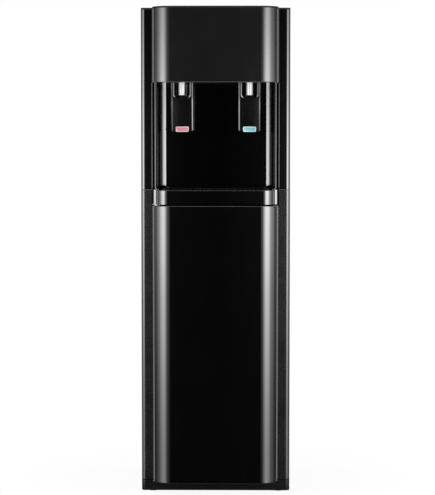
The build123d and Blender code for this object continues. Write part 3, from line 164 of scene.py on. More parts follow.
def mouldedFinish(name, look):
    material, tree, shader = newTree(name)
    place = placeOf(tree)
    colour = mixColours(tree, spread(tree, noise(tree, place, look["mottle"]), 0, 1), *look["tones"])
    tree.links.new(colour, shader.inputs["Base Color"])
    smudges = noise(tree, place, look["mottle"] * surface["smudge"], surface["smudgeDetail"],
                    surface["smudgeRoughness"])
    tree.links.new(spread(tree, smudges, *look["gloss"]), shader.inputs["Roughness"])
    shader.inputs["IOR"].default_value = surface["ior"]
    shader.inputs["Specular IOR Level"].default_value = look.get("shine", surface["shine"])
    if "coat" in look:
        for socket, value in zip(("Coat Weight", "Coat Roughness"), look["coat"]):
            shader.inputs[socket].default_value = value
    peelScale, peelStrength = look["peel"]
    grainScale, grainStrength = look["grain"]
    peel = noise(tree, place, peelScale, surface["peelDetail"])
    grain = noise(tree, place, grainScale, surface["grainDetail"])
    bumps(tree, shader, [(peel, peelStrength, surface["peelDepth"]),
                         (grain, grainStrength, surface["grainDepth"])])
    return material


metals = {
    "zinc_steel": dict(tones=((0.50, 0.51, 0.53), (0.66, 0.67, 0.68)), gloss=(0.28, 0.42), drawn=12),
    "stainless": dict(tones=((0.58, 0.58, 0.58), (0.70, 0.70, 0.71)), gloss=(0.18, 0.30), drawn=20),
    "copper": dict(tones=((0.62, 0.30, 0.17), (0.78, 0.42, 0.26)), gloss=(0.24, 0.40), drawn=4),
}
brushing = dict(spangle=60, spangleDetail=4.0, spangleRoughness=0.6, lines=2600, lineDetail=2.0,
                strength=0.06, depth=0.0001)


def metalFinish(name, look):
    material, tree, shader = newTree(name)
    place = placeOf(tree)
    brushed = placeOf(tree, (1, 1, 1 / look["drawn"]))
    spangle = noise(tree, place, brushing["spangle"], brushing["spangleDetail"], brushing["spangleRoughness"])
    colour = mixColours(tree, spread(tree, spangle, 0, 1), *look["tones"])
    tree.links.new(colour, shader.inputs["Base Color"])
    shader.inputs["Metallic"].default_value = 1.0
    drawn = noise(tree, brushed, brushing["lines"], brushing["lineDetail"])
    tree.links.new(spread(tree, drawn, *look["gloss"]), shader.inputs["Roughness"])
    bumps(tree, shader, [(drawn, brushing["strength"], brushing["depth"])])
    return material


board = dict(lanes=120.0, gap=0.05, green=(0.012, 0.085, 0.035), gold=(0.30, 0.24, 0.10), mottle=200,
             gloss=(0.28, 0.42), strength=0.2, depth=0.0001)


def boardFinish():
    material, tree, shader = newTree("board_green")
    place = placeOf(tree)
    lanes = addNode(tree, "TexBrick", {"Vector": place, "Scale": board["lanes"], "Mortar Size": board["gap"]})
    mask = spread(tree, lanes.outputs["Fac"], 0, 1)
    tree.links.new(mixColours(tree, mask, board["green"], board["gold"]), shader.inputs["Base Color"])
    shine = spread(tree, noise(tree, place, board["mottle"]), *board["gloss"])
    tree.links.new(shine, shader.inputs["Roughness"])
    bumps(tree, shader, [(mask, board["strength"], board["depth"])])
    return material


made = {name: mouldedFinish(name, look) for name, look in finishes.items()}
made.update({name: metalFinish(name, look) for name, look in metals.items()})
made["board_green"] = boardFinish()

rims = {  # the paler edge of each chip
    "red_chip": ((0.90, 0.62, 0.70), (0.94, 0.67, 0.75)),
    "blue_chip": ((0.62, 0.88, 0.90), (0.68, 0.93, 0.94)),
}
for name, tones in rims.items():
    made[name + "_rim"] = mouldedFinish(name + "_rim", {**finishes[name], "tones": tones})

# painted shade: the heights over which the lower trims pass from painted shade to lit
paintedSeamShade = dict(low=0.0279, high=0.0286)


def paintSeamShade(material):
    # painted shade: below the seam the lower trims lose their specular and coat, standing in for the shade of
    # the narrow gap under them
    tree = material.node_tree
    shader = [node for node in tree.nodes if node.type == "BSDF_PRINCIPLED"][0]
    place = addNode(tree, "SeparateXYZ", {"Vector": addNode(tree, "TexCoord").outputs["Object"]})
    lit = spread(tree, place.outputs[2], 0, 1, paintedSeamShade["low"], paintedSeamShade["high"])
    for socket in ("Specular IOR Level", "Coat Weight"):
        level = shader.inputs[socket].default_value
        share = addNode(tree, "Math", {0: lit, 1: level}, operation="MULTIPLY").outputs[0]
        tree.links.new(share, shader.inputs[socket])


# painted shade in the gap under the lower trims
paintSeamShade(made["trim_satin"])
# nodes that take another finish than their material's name says
ownFinish = {"upper_strips": "trim_gloss", "lower_strips": "trim_satin", "base_pan": "plinth_satin",
             "drip_grille": "tray_dull", "tray_housing": "trim_gloss", "top_cover": "lid_satin"}
for name, node in nodes.items():
    for holder in node.material_slots:
        look = ownFinish.get(name) or (holder.material.name.split(".")[0] if holder.material else "")
        if look in made:
            holder.material = made[look]
print("finishes made:", len(made))


# own pieces, in metres and in the frame of the CAD

weld = 1e-6  # points nearer than this are one


def addPiece(name, points, faces, body, finish, stands=(), crease=35):
    mesh = bpy.data.meshes.new(name)
    mesh.from_pydata([tuple(point) for point in points], [], faces)
    mesh.validate()
    build = bmesh.new()
    build.from_mesh(mesh)
    bmesh.ops.remove_doubles(build, verts=build.verts, dist=weld)
    bmesh.ops.recalc_face_normals(build, faces=build.faces)
    build.to_mesh(mesh)
    build.free()
    mesh.shade_smooth()
    mesh.set_sharp_from_angle(angle=radians(crease))
    for look in (finish if isinstance(finish, tuple) else (finish,)):
        mesh.materials.append(made[look])
    piece = bpy.data.objects.new(name, mesh)
    bpy.context.collection.objects.link(piece)
    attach(piece, body)
    if stands:
        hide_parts(*stands)
    return piece


def ringFaces(rings, size):
    # four-sided faces between closed rings of points
    faces = []
    for start in range(0, (rings - 1) * size, size):
        for step in range(size):
            after = (step + 1) % size
            faces.append((start + step, start + after, start + size + after, start + size + step))
    return faces


def turned(profile, steps):
    # points and faces of a profile of (radius, along) turned about Z
    points = []
    for radius, along in profile:
        for step in range(steps):
            angle = 2 * pi * step / steps
            points.append(Vector((radius * cos(angle), radius * sin(angle), along)))
    return points, ringFaces(len(profile), steps)


def moved(points, origin, x=(1, 0, 0), y=(0, 1, 0), z=(0, 0, 1)):
    x, y, z, origin = Vector(x), Vector(y), Vector(z), Vector(origin)
    return [origin + x * point[0] + y * point[1] + z * point[2] for point in points]


def joined(parts):
    # several (points, faces) put together as one
    points, faces = [], []
    for partPoints, partFaces in parts:
        start = len(points)
        points += partPoints
        faces += [tuple(index + start for index in face) for face in partFaces]
    return points, faces


def roundedOutline(halfWidth, halfHeight, radius, steps=6):
    # a rectangle with round corners, counterclockwise
    outline = []
    for cornerX, cornerY, first in ((1, 1, 0), (-1, 1, 90), (-1, -1, 180), (1, -1, 270)):
        for step in range(steps + 1):
            angle = radians(first + 90 * step / steps)
            outline.append((cornerX * (halfWidth - radius) + radius * cos(angle),
                            cornerY * (halfHeight - radius) + radius * sin(angle)))
    return outline


def lofted(rings, capStart=True):
    # skin over closed rings of equal length
    size = len(rings[0])
    points = [Vector(point) for ring in rings for point in ring]
    faces = ringFaces(len(rings), size)
    if capStart:
        faces.append(tuple(reversed(range(size))))
    faces.append(tuple(range((len(rings) - 1) * size, len(rings) * size)))
    return points, faces


def skinLoops(build, loops):
    # the same between closed loops of bmesh points
    for lower, upper in zip(loops, loops[1:]):
        for step in range(len(lower)):
            after = (step + 1) % len(lower)
            build.faces.new((lower[step], lower[after], upper[after], upper[step]))


def takenOut(build):
    # points and faces of a bmesh, which is freed
    build.verts.index_update()
    points = [vert.co.copy() for vert in build.verts]
    faces = [tuple(vert.index for vert in face.verts) for face in build.faces]
    build.free()
    return points, faces


tap = dict(
    across=0.0756, y=-0.0935, mouth=0.8840, base=0.9138, top=0.9458,
    spout=0.0070, bore=0.0045, valve=0.0130, stem=0.00255, blind=0.004, lip=0.0013, lipSteps=6, steps=64,
    # steps outwards and upwards from the bore, the spout and the valve
    innerLip=((0, 0.0011), (0.0002, 0.0006), (0.0006, 0.0002), (0.0011, 0)),
    groove=((0, 0.0042), (-0.0003, 0.0045), (-0.0003, 0.0050), (0, 0.0053)),
    shoulder=((0, -0.0016), (0.0004, -0.0006), (0.0014, 0)),
    edge=((-0.001, 0), (-0.0003, 0.0003), (0, 0.001)),
    # the nozzle behind the valve, with its barbs
    nozzle=0.9308, nozzleBehind=0.012, nozzleBore=0.003, nozzleEnd=0.0046, nozzleLength=0.0225,
    nozzleSteps=32, collar=0.0165, crest=0.0050, valley=0.0043, barbs=4, firstBarb=0.002, barbPitch=0.0035,
    barbFlat=0.0006, barbFall=0.003,
    # the block between the valve and the alcove
    footWide=0.015, footDeep=0.0130, footCorner=0.003, footBehind=0.011,
    footLevels=((0.0004, 0.9128), (0.0, 0.9132), (0.0, 0.9184), (0.0004, 0.9188)),
)


def tapProfile():
    # mouth with a rolled lip, a fine groove, the plain spout and the valve over it
    t = tap
    mouth, base, top, spout, valve, lip = t["mouth"], t["base"], t["top"], t["spout"], t["valve"], t["lip"]
    profile = [(t["bore"], base + t["blind"])]
    profile += [(t["bore"] + out, mouth + up) for out, up in t["innerLip"]]
    for step in range(t["lipSteps"] + 1):
        angle = radians(90 * step / t["lipSteps"])
        profile.append((spout - lip + lip * sin(angle), mouth + lip - lip * cos(angle)))
    profile += [(spout + out, mouth + up) for out, up in t["groove"]]
    profile += [(spout + out, base + up) for out, up in t["shoulder"]]
    profile += [(valve + out, base + up) for out, up in t["edge"]]
    profile += [(valve + out, top - up) for out, up in reversed(t["edge"])]
    return profile + [(t["stem"], top), (t["stem"], top - t["blind"])]


def nozzleProfile():
    # barbed hose nozzle, from its collar out to its end
    t = tap
    profile = [(t["nozzleBore"], 0.0), (t["nozzleEnd"], 0.0)]
    for barb in range(t["barbs"]):
        start = t["firstBarb"] + barb * t["barbPitch"]
        profile += [(t["crest"], start), (t["crest"], start + t["barbFlat"]),
                    (t["valley"], start + t["barbFall"])]
    profile += [(t["crest"], t["collar"]), (t["crest"], t["nozzleLength"])]
    return [(radius, t["nozzleLength"] - along) for radius, along in reversed(profile)]


def addTaps():
    t = tap
    outline = roundedOutline(t["footWide"], t["footDeep"], t["footCorner"])
    centre = t["y"] + t["valve"] + t["footBehind"]
    for name, side in (("hotTap", -1), ("coldTap", 1)):
        x = side * t["across"]
        body, bodyFaces = turned(tapProfile(), t["steps"])
        nozzle, nozzleFaces = turned(nozzleProfile(), t["nozzleSteps"])
        root = (x, t["y"] + t["nozzleBehind"], t["nozzle"])
        foot = lofted([[(x + px * (1 - inset / t["footWide"]), centre + py * (1 - inset / t["footDeep"]), z)
                        for px, py in outline] for inset, z in t["footLevels"]])
        points, faces = joined(((moved(body, (x, t["y"], 0)), bodyFaces),
                                (moved(nozzle, root, (1, 0, 0), (0, 0, -1), (0, 1, 0)), nozzleFaces), foot))
        addPiece(name, points, faces, "cabinet", "white_plastic", ("taps",))


addTaps()


def runAlong(centre, radius, first, last, steps):
    # points of an arc as (x, y) and the inward direction at each, angles from +X towards the front
    run = []
    for step in range(steps + 1):
        angle = radians(first + (last - first) * step / steps)
        way = (cos(angle), -sin(angle))
        run.append((centre[0] - radius * way[0], centre[1] - radius * way[1], *way))
    return run


alcove = dict(
    front=-0.1315, outer=0.1397, mouth=0.1325, lip=0.0020, top=0.9098, ledge=0.6756, low=0.6726, foot=0.007,
    # the shallow sweep that ends in a crease beside the back panel, and the tighter turn before it
    crease=(-0.1128, -0.0114), sweep=0.059, sweepFrom=44, sweepTo=66, turn=0.018, panel=-0.0135,
    panelCove=0.3, panelEdge=0.004, panelHalf=0.12, sides=14, arcSteps=12, lipSteps=6, footSteps=8,
    # the unseen outside, and the opening in the floor for the tray
    rear=-0.0105, skin=0.004, skinGrow=1.3, skinHalf=0.13, holeHalf=0.1255, holeBack=-0.0245, holeCove=0.9,
)


def alcovePlan():
    # left half from the rim to the back panel: x, y, inward direction, share of the foot's cove
    a = alcove
    front, lip = a["front"], a["lip"]
    plan = [(-a["outer"], front, 0, -1, 0)]
    for step in range(a["lipSteps"] + 1):
        angle = radians(90 * step / a["lipSteps"])
        plan.append((-a["mouth"] - lip + lip * sin(angle), front + lip - lip * cos(angle), 1, 0,
                     step / a["lipSteps"]))
    end = radians(a["sweepTo"])
    creaseX, creaseY = a["crease"]
    centre = (creaseX + a["sweep"] * cos(end), creaseY - a["sweep"] * sin(end))
    sweep = runAlong(centre, a["sweep"], a["sweepFrom"], a["sweepTo"], a["arcSteps"])
    start = sweep[0]
    inner = (start[0] + a["turn"] * start[2], start[1] + a["turn"] * start[3])
    turn = runAlong(inner, a["turn"], 0, a["sweepFrom"], a["arcSteps"])
    plan += [(*point, 1) for point in turn[:-1] + sweep[:-1]]
    plan.append((creaseX, creaseY, cos(end), -sin(end), 1))
    plan.append((creaseX, a["panel"], 0, -1, a["panelCove"]))
    plan.append((creaseX + a["panelEdge"], a["panel"], 0, -1, 0))
    return plan


def addAlcove():
    a = alcove
    half = alcovePlan()
    plan = half + [(-x, y, -dx, dy, share) for x, y, dx, dy, share in reversed(half)]
    outside = [(min(max(x * a["skinGrow"], -a["outer"]), a["outer"]),
                a["rear"] if abs(x) < a["skinHalf"] else min(y + a["skin"], a["rear"]))
               for x, y, dx, dy, share in plan]
    rings = []

    def ring(z, inset, hole=False):
        inner = []
        for x, y, dx, dy, share in plan:
            px, py = x + dx * share * inset, y + dy * share * inset
            if hole and (share > a["holeCove"] or abs(x) < a["panelHalf"]):
                px, py = max(min(px, a["holeHalf"]), -a["holeHalf"]), min(py, a["holeBack"])
            inner.append((px, py, z))
        rings.append(inner + [(x, y, z) for x, y in reversed(outside)])

    tall = a["top"] - a["ledge"] - a["foot"]
    for level in range(a["sides"] + 1):
        ring(a["top"] - tall * level / a["sides"], 0)
    for step in range(1, a["footSteps"] + 1):
        angle = radians(90 * step / a["footSteps"])
        ring(a["ledge"] + a["foot"] * (1 - sin(angle)), a["foot"] * (1 - cos(angle)))
    ring(a["ledge"], a["foot"], True)
    ring(a["low"], a["foot"], True)
    points, faces = lofted(rings)
    addPiece("alcoveMoulding", points, faces, "cabinet", "alcove_gloss", ("alcove_liner",), 30)


addAlcove()


paddle = dict(
    across=0.0756, width=0.0490, window=0.0345, low=0.8023, windowLow=0.8798, top=0.9330,
    corner=0.0062, windowCorner=0.0058, cornerSteps=8,
    # half the thickness, the sloping bevel of the front and the eased edges
    half=0.0035, bevel=0.0017, slope=16, edge=0.0013, round=0.3, bevelBend=0.9, bevelEnd=1.15,
    # middle of the plate as (y, z) from the pad's foot to the arms' top, and how its bends are eased and cut
    line=((-0.0675, 0.8023), (-0.0795, 0.8758), (-0.0910, 0.9150), (-0.1115, 0.9313), (-0.1125, 0.9340)),
    easeSteps=6, easeStep=0.0009, firstCut=0.002, cut=0.0022,
    # bosses on the pivot pin, the links over the hood's base and the forks beside the valve
    pivot=(-0.1115, 0.9313), boss=0.0050, bossSteps=32, bore=0.00205, chamfer=0.0004, bar=0.0050,
    fork=0.9513, thick=0.0035, notch=0.0040, rise=0.003, root=0.0020, tap=-0.0935, short=0.0002,
)


def paddleY(z):
    # middle of the plate at a height, its bends eased over their length
    line, steps = paddle["line"], paddle["easeSteps"]
    total, weight = 0.0, 0.0
    for step in range(-steps, steps + 1):
        height = min(max(z + step * paddle["easeStep"], line[0][1]), line[-1][1])
        for (y0, z0), (y1, z1) in zip(line, line[1:]):
            if height <= z1:
                total += y0 + (y1 - y0) * (height - z0) / (z1 - z0)
                weight += 1
                break
    return total / weight


def paddleLoop():
    # outline of the plate with its window, from the left arm's top round to the right arm's
    p = paddle
    outer, inner = p["width"] / 2, p["window"] / 2
    low, high, tight, wide = p["low"], p["windowLow"], p["windowCorner"], p["corner"]
    loop = [(-outer, p["top"], -1, 0)]

    def corner(cx, cz, radius, first, last, sign=1):
        for step in range(p["cornerSteps"] + 1):
            angle = radians(first + (last - first) * step / p["cornerSteps"])
            way = (cos(angle), sin(angle))
            loop.append((cx + radius * way[0], cz + radius * way[1], sign * way[0], sign * way[1]))

    corner(-outer + wide, low + wide, wide, 180, 270)
    corner(outer - wide, low + wide, wide, 270, 360)
    loop.append((outer, p["top"], 1, 0))
    loop.append((inner, p["top"], -1, 0))
    corner(inner - tight, high + tight, tight, 360, 270, -1)
    corner(-inner + tight, high + tight, tight, 270, 180, -1)
    loop.append((-inner, p["top"], 1, 0))
    return loop


def paddlePlate():
    # bevelled rings round the outline, closed by a front and a back face that follow the bends
    p = paddle
    edge, half, bevel, eased = p["edge"], p["half"], p["bevel"], p["edge"] * p["round"]
    drop = bevel * sin(radians(p["slope"]))
    rings = [(edge, half), (eased, half - eased), (0, half - edge), (0, -half + drop + edge),
             (eased, -half + drop + eased), (edge, -half + drop),
             (edge + bevel * p["bevelBend"], -half + drop * (1 - p["bevelBend"])),
             (edge + bevel * p["bevelEnd"], -half)]
    build = bmesh.new()
    loops = [[build.verts.new((x - wx * inset, z - wz * inset, depth)) for x, z, wx, wz in paddleLoop()]
             for inset, depth in rings]
    skinLoops(build, loops)
    build.faces.new(list(reversed(loops[0])))
    build.faces.new(loops[-1])
    height = p["low"] + p["firstCut"]
    while height < p["top"]:
        bmesh.ops.bisect_plane(build, geom=build.verts[:] + build.edges[:] + build.faces[:],
                               plane_co=(0, height, 0), plane_no=(0, 1, 0))
        height += p["cut"]
    points, faces = takenOut(build)
    return [(x, paddleY(z) + depth, z) for x, z, depth in points], faces


slabEnds = dict(ease=0.0003, share=0.96)


def slab(outline, low, high):
    # an outline of (y, z) pulled out along X, its ends eased
    ease, share = slabEnds["ease"], slabEnds["share"]
    midY, midZ = (sum(values) / len(outline) for values in zip(*outline))
    return lofted([[(x, midY + (y - midY) * size, midZ + (z - midZ) * size) for y, z in outline]
                   for x, size in ((low, share), (low + ease, 1.0), (high - ease, 1.0), (high, share))])


def addPaddles():
    p = paddle
    plate = paddlePlate()
    arm = (p["width"] - p["window"]) / 2
    pivotY, pivotZ = p["pivot"]
    boss, chamfer, reach = p["boss"], p["chamfer"], arm / 2
    profile = [(p["bore"], -reach), (boss - chamfer, -reach), (boss, -reach + chamfer),
               (boss, reach - chamfer), (boss - chamfer, reach), (p["bore"], reach), (p["bore"], -reach)]
    half, fork = p["bar"] / 2, p["fork"]
    under = fork - p["thick"]
    near, far = p["tap"] - half, p["tap"] + half
    link = [(pivotY - half, pivotZ + p["rise"]), (near, fork), (far, fork), (far, under),
            (pivotY + half + p["root"], pivotZ + p["rise"])]
    bar = [(near, fork), (near, under), (far, under), (far, fork)]
    for name, side in (("hotPaddle", -1), ("coldPaddle", 1)):
        x = side * p["across"]
        parts = [(moved(plate[0], (x, 0, 0)), plate[1])]
        for hand in (-1, 1):
            middle = x + hand * (p["window"] + arm) / 2
            ring = turned(profile, p["bossSteps"])
            parts.append((moved(ring[0], (middle, pivotY, pivotZ), (0, 1, 0), (0, 0, 1), (1, 0, 0)), ring[1]))
            parts.append(slab(link, middle - reach, middle + reach))
            ends = (x + hand * p["notch"], x + hand * (p["width"] / 2 - p["short"]))
            parts.append(slab(bar, *sorted(ends)))
        points, faces = joined(parts)
        body = name[:-6] + "_paddle"
        addPiece(name, points, faces, body, "paddle_grey", (body,), 25)


addPaddles()


chip = dict(
    across=0.0756, width=0.0290, height=0.0120, proud=0.0006, border=0.0020, sunk=0.00025, corner=0.0022,
    low=(-0.0710, 0.80255), lean=0.1612, smallest=0.0004,
    # insets of the rim's outer edge with their share of the height, and of the step down inside it
    edge=((0.0, 0.0), (0.0, 0.7), (0.0001, 0.9), (0.0003, 1.0)), step=0.0002, fall=0.0001,
)


def addChips():
    # a coloured chip with a paler raised rim, on the slope of each paddle
    c = chip
    up = Vector((0, -c["lean"], (1 - c["lean"] ** 2) ** 0.5))
    out = Vector((0, -up.z, up.y))
    middle = Vector((0, *c["low"])) + up * c["height"] / 2
    levels = [(inset, share * c["proud"]) for inset, share in c["edge"]]
    levels += [(c["border"] - c["step"], c["proud"]), (c["border"] + c["fall"], c["proud"] - c["sunk"])]
    rings = [[(px, py, height) for px, py in roundedOutline(c["width"] / 2 - inset, c["height"] / 2 - inset,
                                                            max(c["corner"] - inset, c["smallest"]))]
             for inset, height in levels]
    points, faces = lofted(rings, capStart=False)
    for name, side, colour in (("hotChip", -1, "red_chip"), ("coldChip", 1, "blue_chip")):
        origin = middle + Vector((side * c["across"], 0, 0))
        piece = addPiece(name, moved(points, origin, (1, 0, 0), up, out), faces, name[:-4] + "_paddle",
                         (colour, colour + "_rim"), (name[:-4] + "_label",))
        for face in piece.data.polygons:
            face.material_index = 0 if len(face.vertices) == len(rings[0]) else 1


addChips()


spring = dict(across=0.0756, y=-0.1115, z=0.9313, radius=0.00265, wire=0.0005, length=0.0080, turns=7,
              stepsPerTurn=24, wireSteps=3)


def addSprings():
    # wound wire round each pivot pin
    s = spring
    steps = s["turns"] * s["stepsPerTurn"]
    for name, side in (("hotSpring", -1), ("coldSpring", 1)):
        data = bpy.data.curves.new(name, "CURVE")
        data.dimensions = "3D"
        data.bevel_depth = s["wire"]
        data.bevel_resolution = s["wireSteps"]
        data.use_fill_caps = True
        data.materials.append(made["stainless"])
        line = data.splines.new("POLY")
        line.points.add(steps)
        for step, point in enumerate(line.points):
            angle = 2 * pi * step / s["stepsPerTurn"]
            point.co = (side * s["across"] + s["length"] * (step / steps - 0.5),
                        s["y"] + s["radius"] * cos(angle), s["z"] + s["radius"] * sin(angle), 1)
        piece = bpy.data.objects.new(name, data)
        bpy.context.collection.objects.link(piece)
        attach(piece, "cabinet")
        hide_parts("paddle_springs")


addSprings()


louvre = dict(rows=9, first=0.6872, pitch=0.014, slot=0.005, over=0.0022, inner=0.040, outer=0.150,
              beside=0.0015, face=0.1715, sunk=0.0002, reach=0.0026, sheet=0.0007, square=14,
              across=28, down=8)


def addLouvres():
    # a pressed hood over each slot of the rear panel, open below
    v = louvre
    across, down = v["across"], v["down"]
    tall = v["slot"] + v["over"]
    half = (v["outer"] - v["inner"]) / 2 + v["beside"]
    rise = down + 1
    faces = [(start + line, start + rise + line, start + rise + line + 1, start + line + 1)
             for start in range(0, across * rise, rise) for line in range(down)]
    parts = []
    for row in range(v["rows"]):
        top = v["first"] + row * v["pitch"] + tall
        for side in (-1, 1):
            middle = side * (v["inner"] + v["outer"]) / 2
            for depth in (0.0, v["sheet"]):
                points = []
                for column in range(across + 1):
                    place = -cos(pi * column / across)
                    swell = v["reach"] * (1 - abs(place) ** v["square"]) ** 0.5
                    for line in range(rise):
                        share = line / down
                        y = v["face"] - v["sunk"] + max(swell * sin(pi / 2 * share) - depth, 0)
                        points.append(Vector((middle + half * place, y, top - tall * share)))
                parts.append((points, faces))
    points, faces = joined(parts)
    addPiece("louvreHoods", points, faces, "cabinet", "cabinet_steel", (), 60)


addLouvres()


screw = dict(x=0.1575, face=0.1715, rows=4, low=0.0466, high=1.051, height=0.0022, cross=0.0019, arm=0.00045,
             sink=0.0011, taper=0.7, steps=24, rowTurn=17, sideTurn=31,
             dome=((0.0040, 0.0), (0.0040, 0.0005), (0.0038, 0.0011), (0.0033, 0.0017), (0.0026, 0.0021)))


def crossOutline():
    # the recess of the screwdriver
    arm, reach = screw["arm"], screw["cross"]
    quarter = [(reach, -arm), (reach, arm), (arm, arm)]
    outline = []
    for turn in range(4):
        angle = pi / 2 * turn
        outline += [(x * cos(angle) - y * sin(angle), x * sin(angle) + y * cos(angle)) for x, y in quarter]
    return outline


def screwHead():
    # domed head, its flat middle sunk by a cross
    build = bmesh.new()
    steps, height, taper = screw["steps"], screw["height"], screw["taper"]
    turns = [2 * pi * step / steps for step in range(steps)]
    loops = [[build.verts.new((radius * cos(angle), radius * sin(angle), level)) for angle in turns]
             for radius, level in screw["dome"]]
    skinLoops(build, loops)
    rim = [build.verts.new((x, y, height)) for x, y in crossOutline()]
    deep = [build.verts.new((x * taper, y * taper, height - screw["sink"])) for x, y in crossOutline()]
    edges = [build.edges.get((loops[-1][step], loops[-1][(step + 1) % steps])) for step in range(steps)]
    edges += [build.edges.new((rim[step], rim[(step + 1) % len(rim)])) for step in range(len(rim))]
    bmesh.ops.triangle_fill(build, edges=edges, use_beauty=True)
    inside = [face for face in build.faces if all(vert in rim for vert in face.verts)]
    bmesh.ops.delete(build, geom=inside, context="FACES_ONLY")
    skinLoops(build, (rim, deep))
    build.faces.new(deep)
    return takenOut(build)


def addScrews():
    # two columns on the rear panel, each screw turned its own way
    head = screwHead()
    parts = []
    for row in range(screw["rows"]):
        z = screw["low"] + row * (screw["high"] - screw["low"]) / (screw["rows"] - 1)
        for side in (-1, 1):
            turn = radians(screw["rowTurn"] * row + screw["sideTurn"] * side)
            parts.append((moved(head[0], (side * screw["x"], screw["face"], z), (-cos(turn), 0, sin(turn)),
                                (sin(turn), 0, cos(turn)), (0, 1, 0)), head[1]))
    points, faces = joined(parts)
    addPiece("rearScrews", points, faces, "cabinet", "zinc_steel", ("rear_screws",))


addScrews()
print("own pieces built")


# camera, floor and light

view = dict(x=0.044, y=-4.0, z=0.8058, pitch=3.833, turn=0.588, lens=127.1, clip=40)


def addCamera():
    data = bpy.data.cameras.new("camera")
    data.lens = view["lens"]
    data.clip_end = view["clip"]
    camera = bpy.data.objects.new("camera", data)
    camera.location = (view["x"], view["y"], view["z"])
    camera.rotation_euler = (radians(90 - view["pitch"]), 0, radians(view["turn"]))
    bpy.context.collection.objects.link(camera)
    bpy.context.scene.camera = camera


# two curved screens beside the camera that only reflections see: how strong they are at each angle from the
# front, in degrees, and at each height
screen = dict(
    radius=1.7, low=-0.9, high=3.0, sweep=120, strength=9.9, steps=48,
    left=((0, 0.0), (4, 0.001), (8, 0.006), (12, 0.048), (19, 0.125), (25, 0.33), (32, 0.75), (38, 1.0),
          (45, 1.0), (52, 0.88), (60, 0.66), (67, 0.43), (76, 0.27), (84, 0.16), (93, 0.10), (102, 0.045),
          (120, 0.03)),
    right=((0, 0.0), (6, 0.004), (10, 0.03), (14, 0.10), (18, 0.25), (24, 0.60), (30, 0.95), (38, 1.19),
           (45, 1.12), (52, 0.95), (58, 0.68), (64, 0.42), (72, 0.29), (80, 0.23), (87, 0.17), (97, 0.05),
           (120, 0.02)),
    upward=((-0.9, 0.20), (-0.19, 0.25), (-0.118, 0.27), (0.025, 0.35), (0.168, 0.475), (0.311, 0.59),
            (0.454, 0.79), (0.563, 0.86), (0.65, 1.0), (0.75, 1.0), (0.85, 0.9), (0.96, 0.7), (1.115, 0.5),
            (1.3, 0.35), (1.75, 0.35), (1.95, 1.0), (3.0, 1.0)),
)


def rampFrom(tree, value, stops, low, high):
    # a level that follows the stops (place, level) between low and high
    ramp = addNode(tree, "ValToRGB", {"Fac": value})
    band = ramp.color_ramp
    while len(band.elements) > 1:
        band.elements.remove(band.elements[0])
    for index, (at, level) in enumerate(stops):
        position = (at - low) / (high - low)
        stop = band.elements[0] if index == 0 else band.elements.new(position)
        stop.position = position
        stop.color = (level, level, level, 1)
    return ramp.outputs[0]


def glowing(tree, level):
    glow = addNode(tree, "Emission", {"Strength": level})
    tree.links.new(glow.outputs[0], addNode(tree, "OutputMaterial").inputs[0])


def onlyMirrored(name, mesh):
    # a card of the stage that only reflections see
    card = bpy.data.objects.new(name, mesh)
    bpy.context.collection.objects.link(card)
    card.visible_camera = False
    card.visible_diffuse = False
    card.visible_shadow = False
    card.visible_transmission = False


def screenGlow(name):
    material = bpy.data.materials.new(name)
    tree = emptyTree(material)
    place = addNode(tree, "UVMap", uv_map="sweep").outputs[0]
    parts = addNode(tree, "SeparateXYZ", {"Vector": place})
    strongest = max(level for at, level in screen[name])
    stops = [(at, level / strongest) for at, level in screen[name]]
    across = rampFrom(tree, parts.outputs[0], stops, 0, screen["sweep"])
    upward = rampFrom(tree, parts.outputs[1], screen["upward"], screen["low"], screen["high"])
    full = screen["strength"] * strongest
    level = addNode(tree, "Math", {0: across, 1: upward}, operation="MULTIPLY").outputs[0]
    glowing(tree, addNode(tree, "Math", {0: level, 1: full}, operation="MULTIPLY").outputs[0])
    return material


def softScreens():
    steps = screen["steps"]
    for side, name in ((-1, "left"), (1, "right")):
        mesh = bpy.data.meshes.new(name + "Screen")
        build = bmesh.new()
        layer = build.loops.layers.uv.new("sweep")
        columns = []
        for step in range(steps + 1):
            angle = radians(screen["sweep"] * step / steps)
            x, y = side * screen["radius"] * sin(angle), -screen["radius"] * cos(angle)
            columns.append([build.verts.new((x, y, z)) for z in (screen["low"], screen["high"])])
        for step, (here, after) in enumerate(zip(columns, columns[1:])):
            face = build.faces.new((here[0], after[0], after[1], here[1]))
            corners = ((step, 0), (step + 1, 0), (step + 1, 1), (step, 1))
            for loop, (column, row) in zip(face.loops, corners):
                loop[layer].uv = (column / steps, row)
        build.to_mesh(mesh)
        build.free()
        mesh.materials.append(screenGlow(name))
        onlyMirrored(name + "Screen", mesh)


# what reflections see beyond the screens, by how far the direction points back or up, and the even light
surround = dict(
    backward=((-1, 0.0), (0.0, 0.0), (0.25, 0.28), (0.6, 0.52), (1, 0.70)),
    upward=((-1, 3.4), (-0.93, 2.8), (-0.87, 0.5), (-0.6, 0.0), (0.35, 0.0), (0.6, 1.4), (1, 2.4)),
    diffuse=0.80,
)


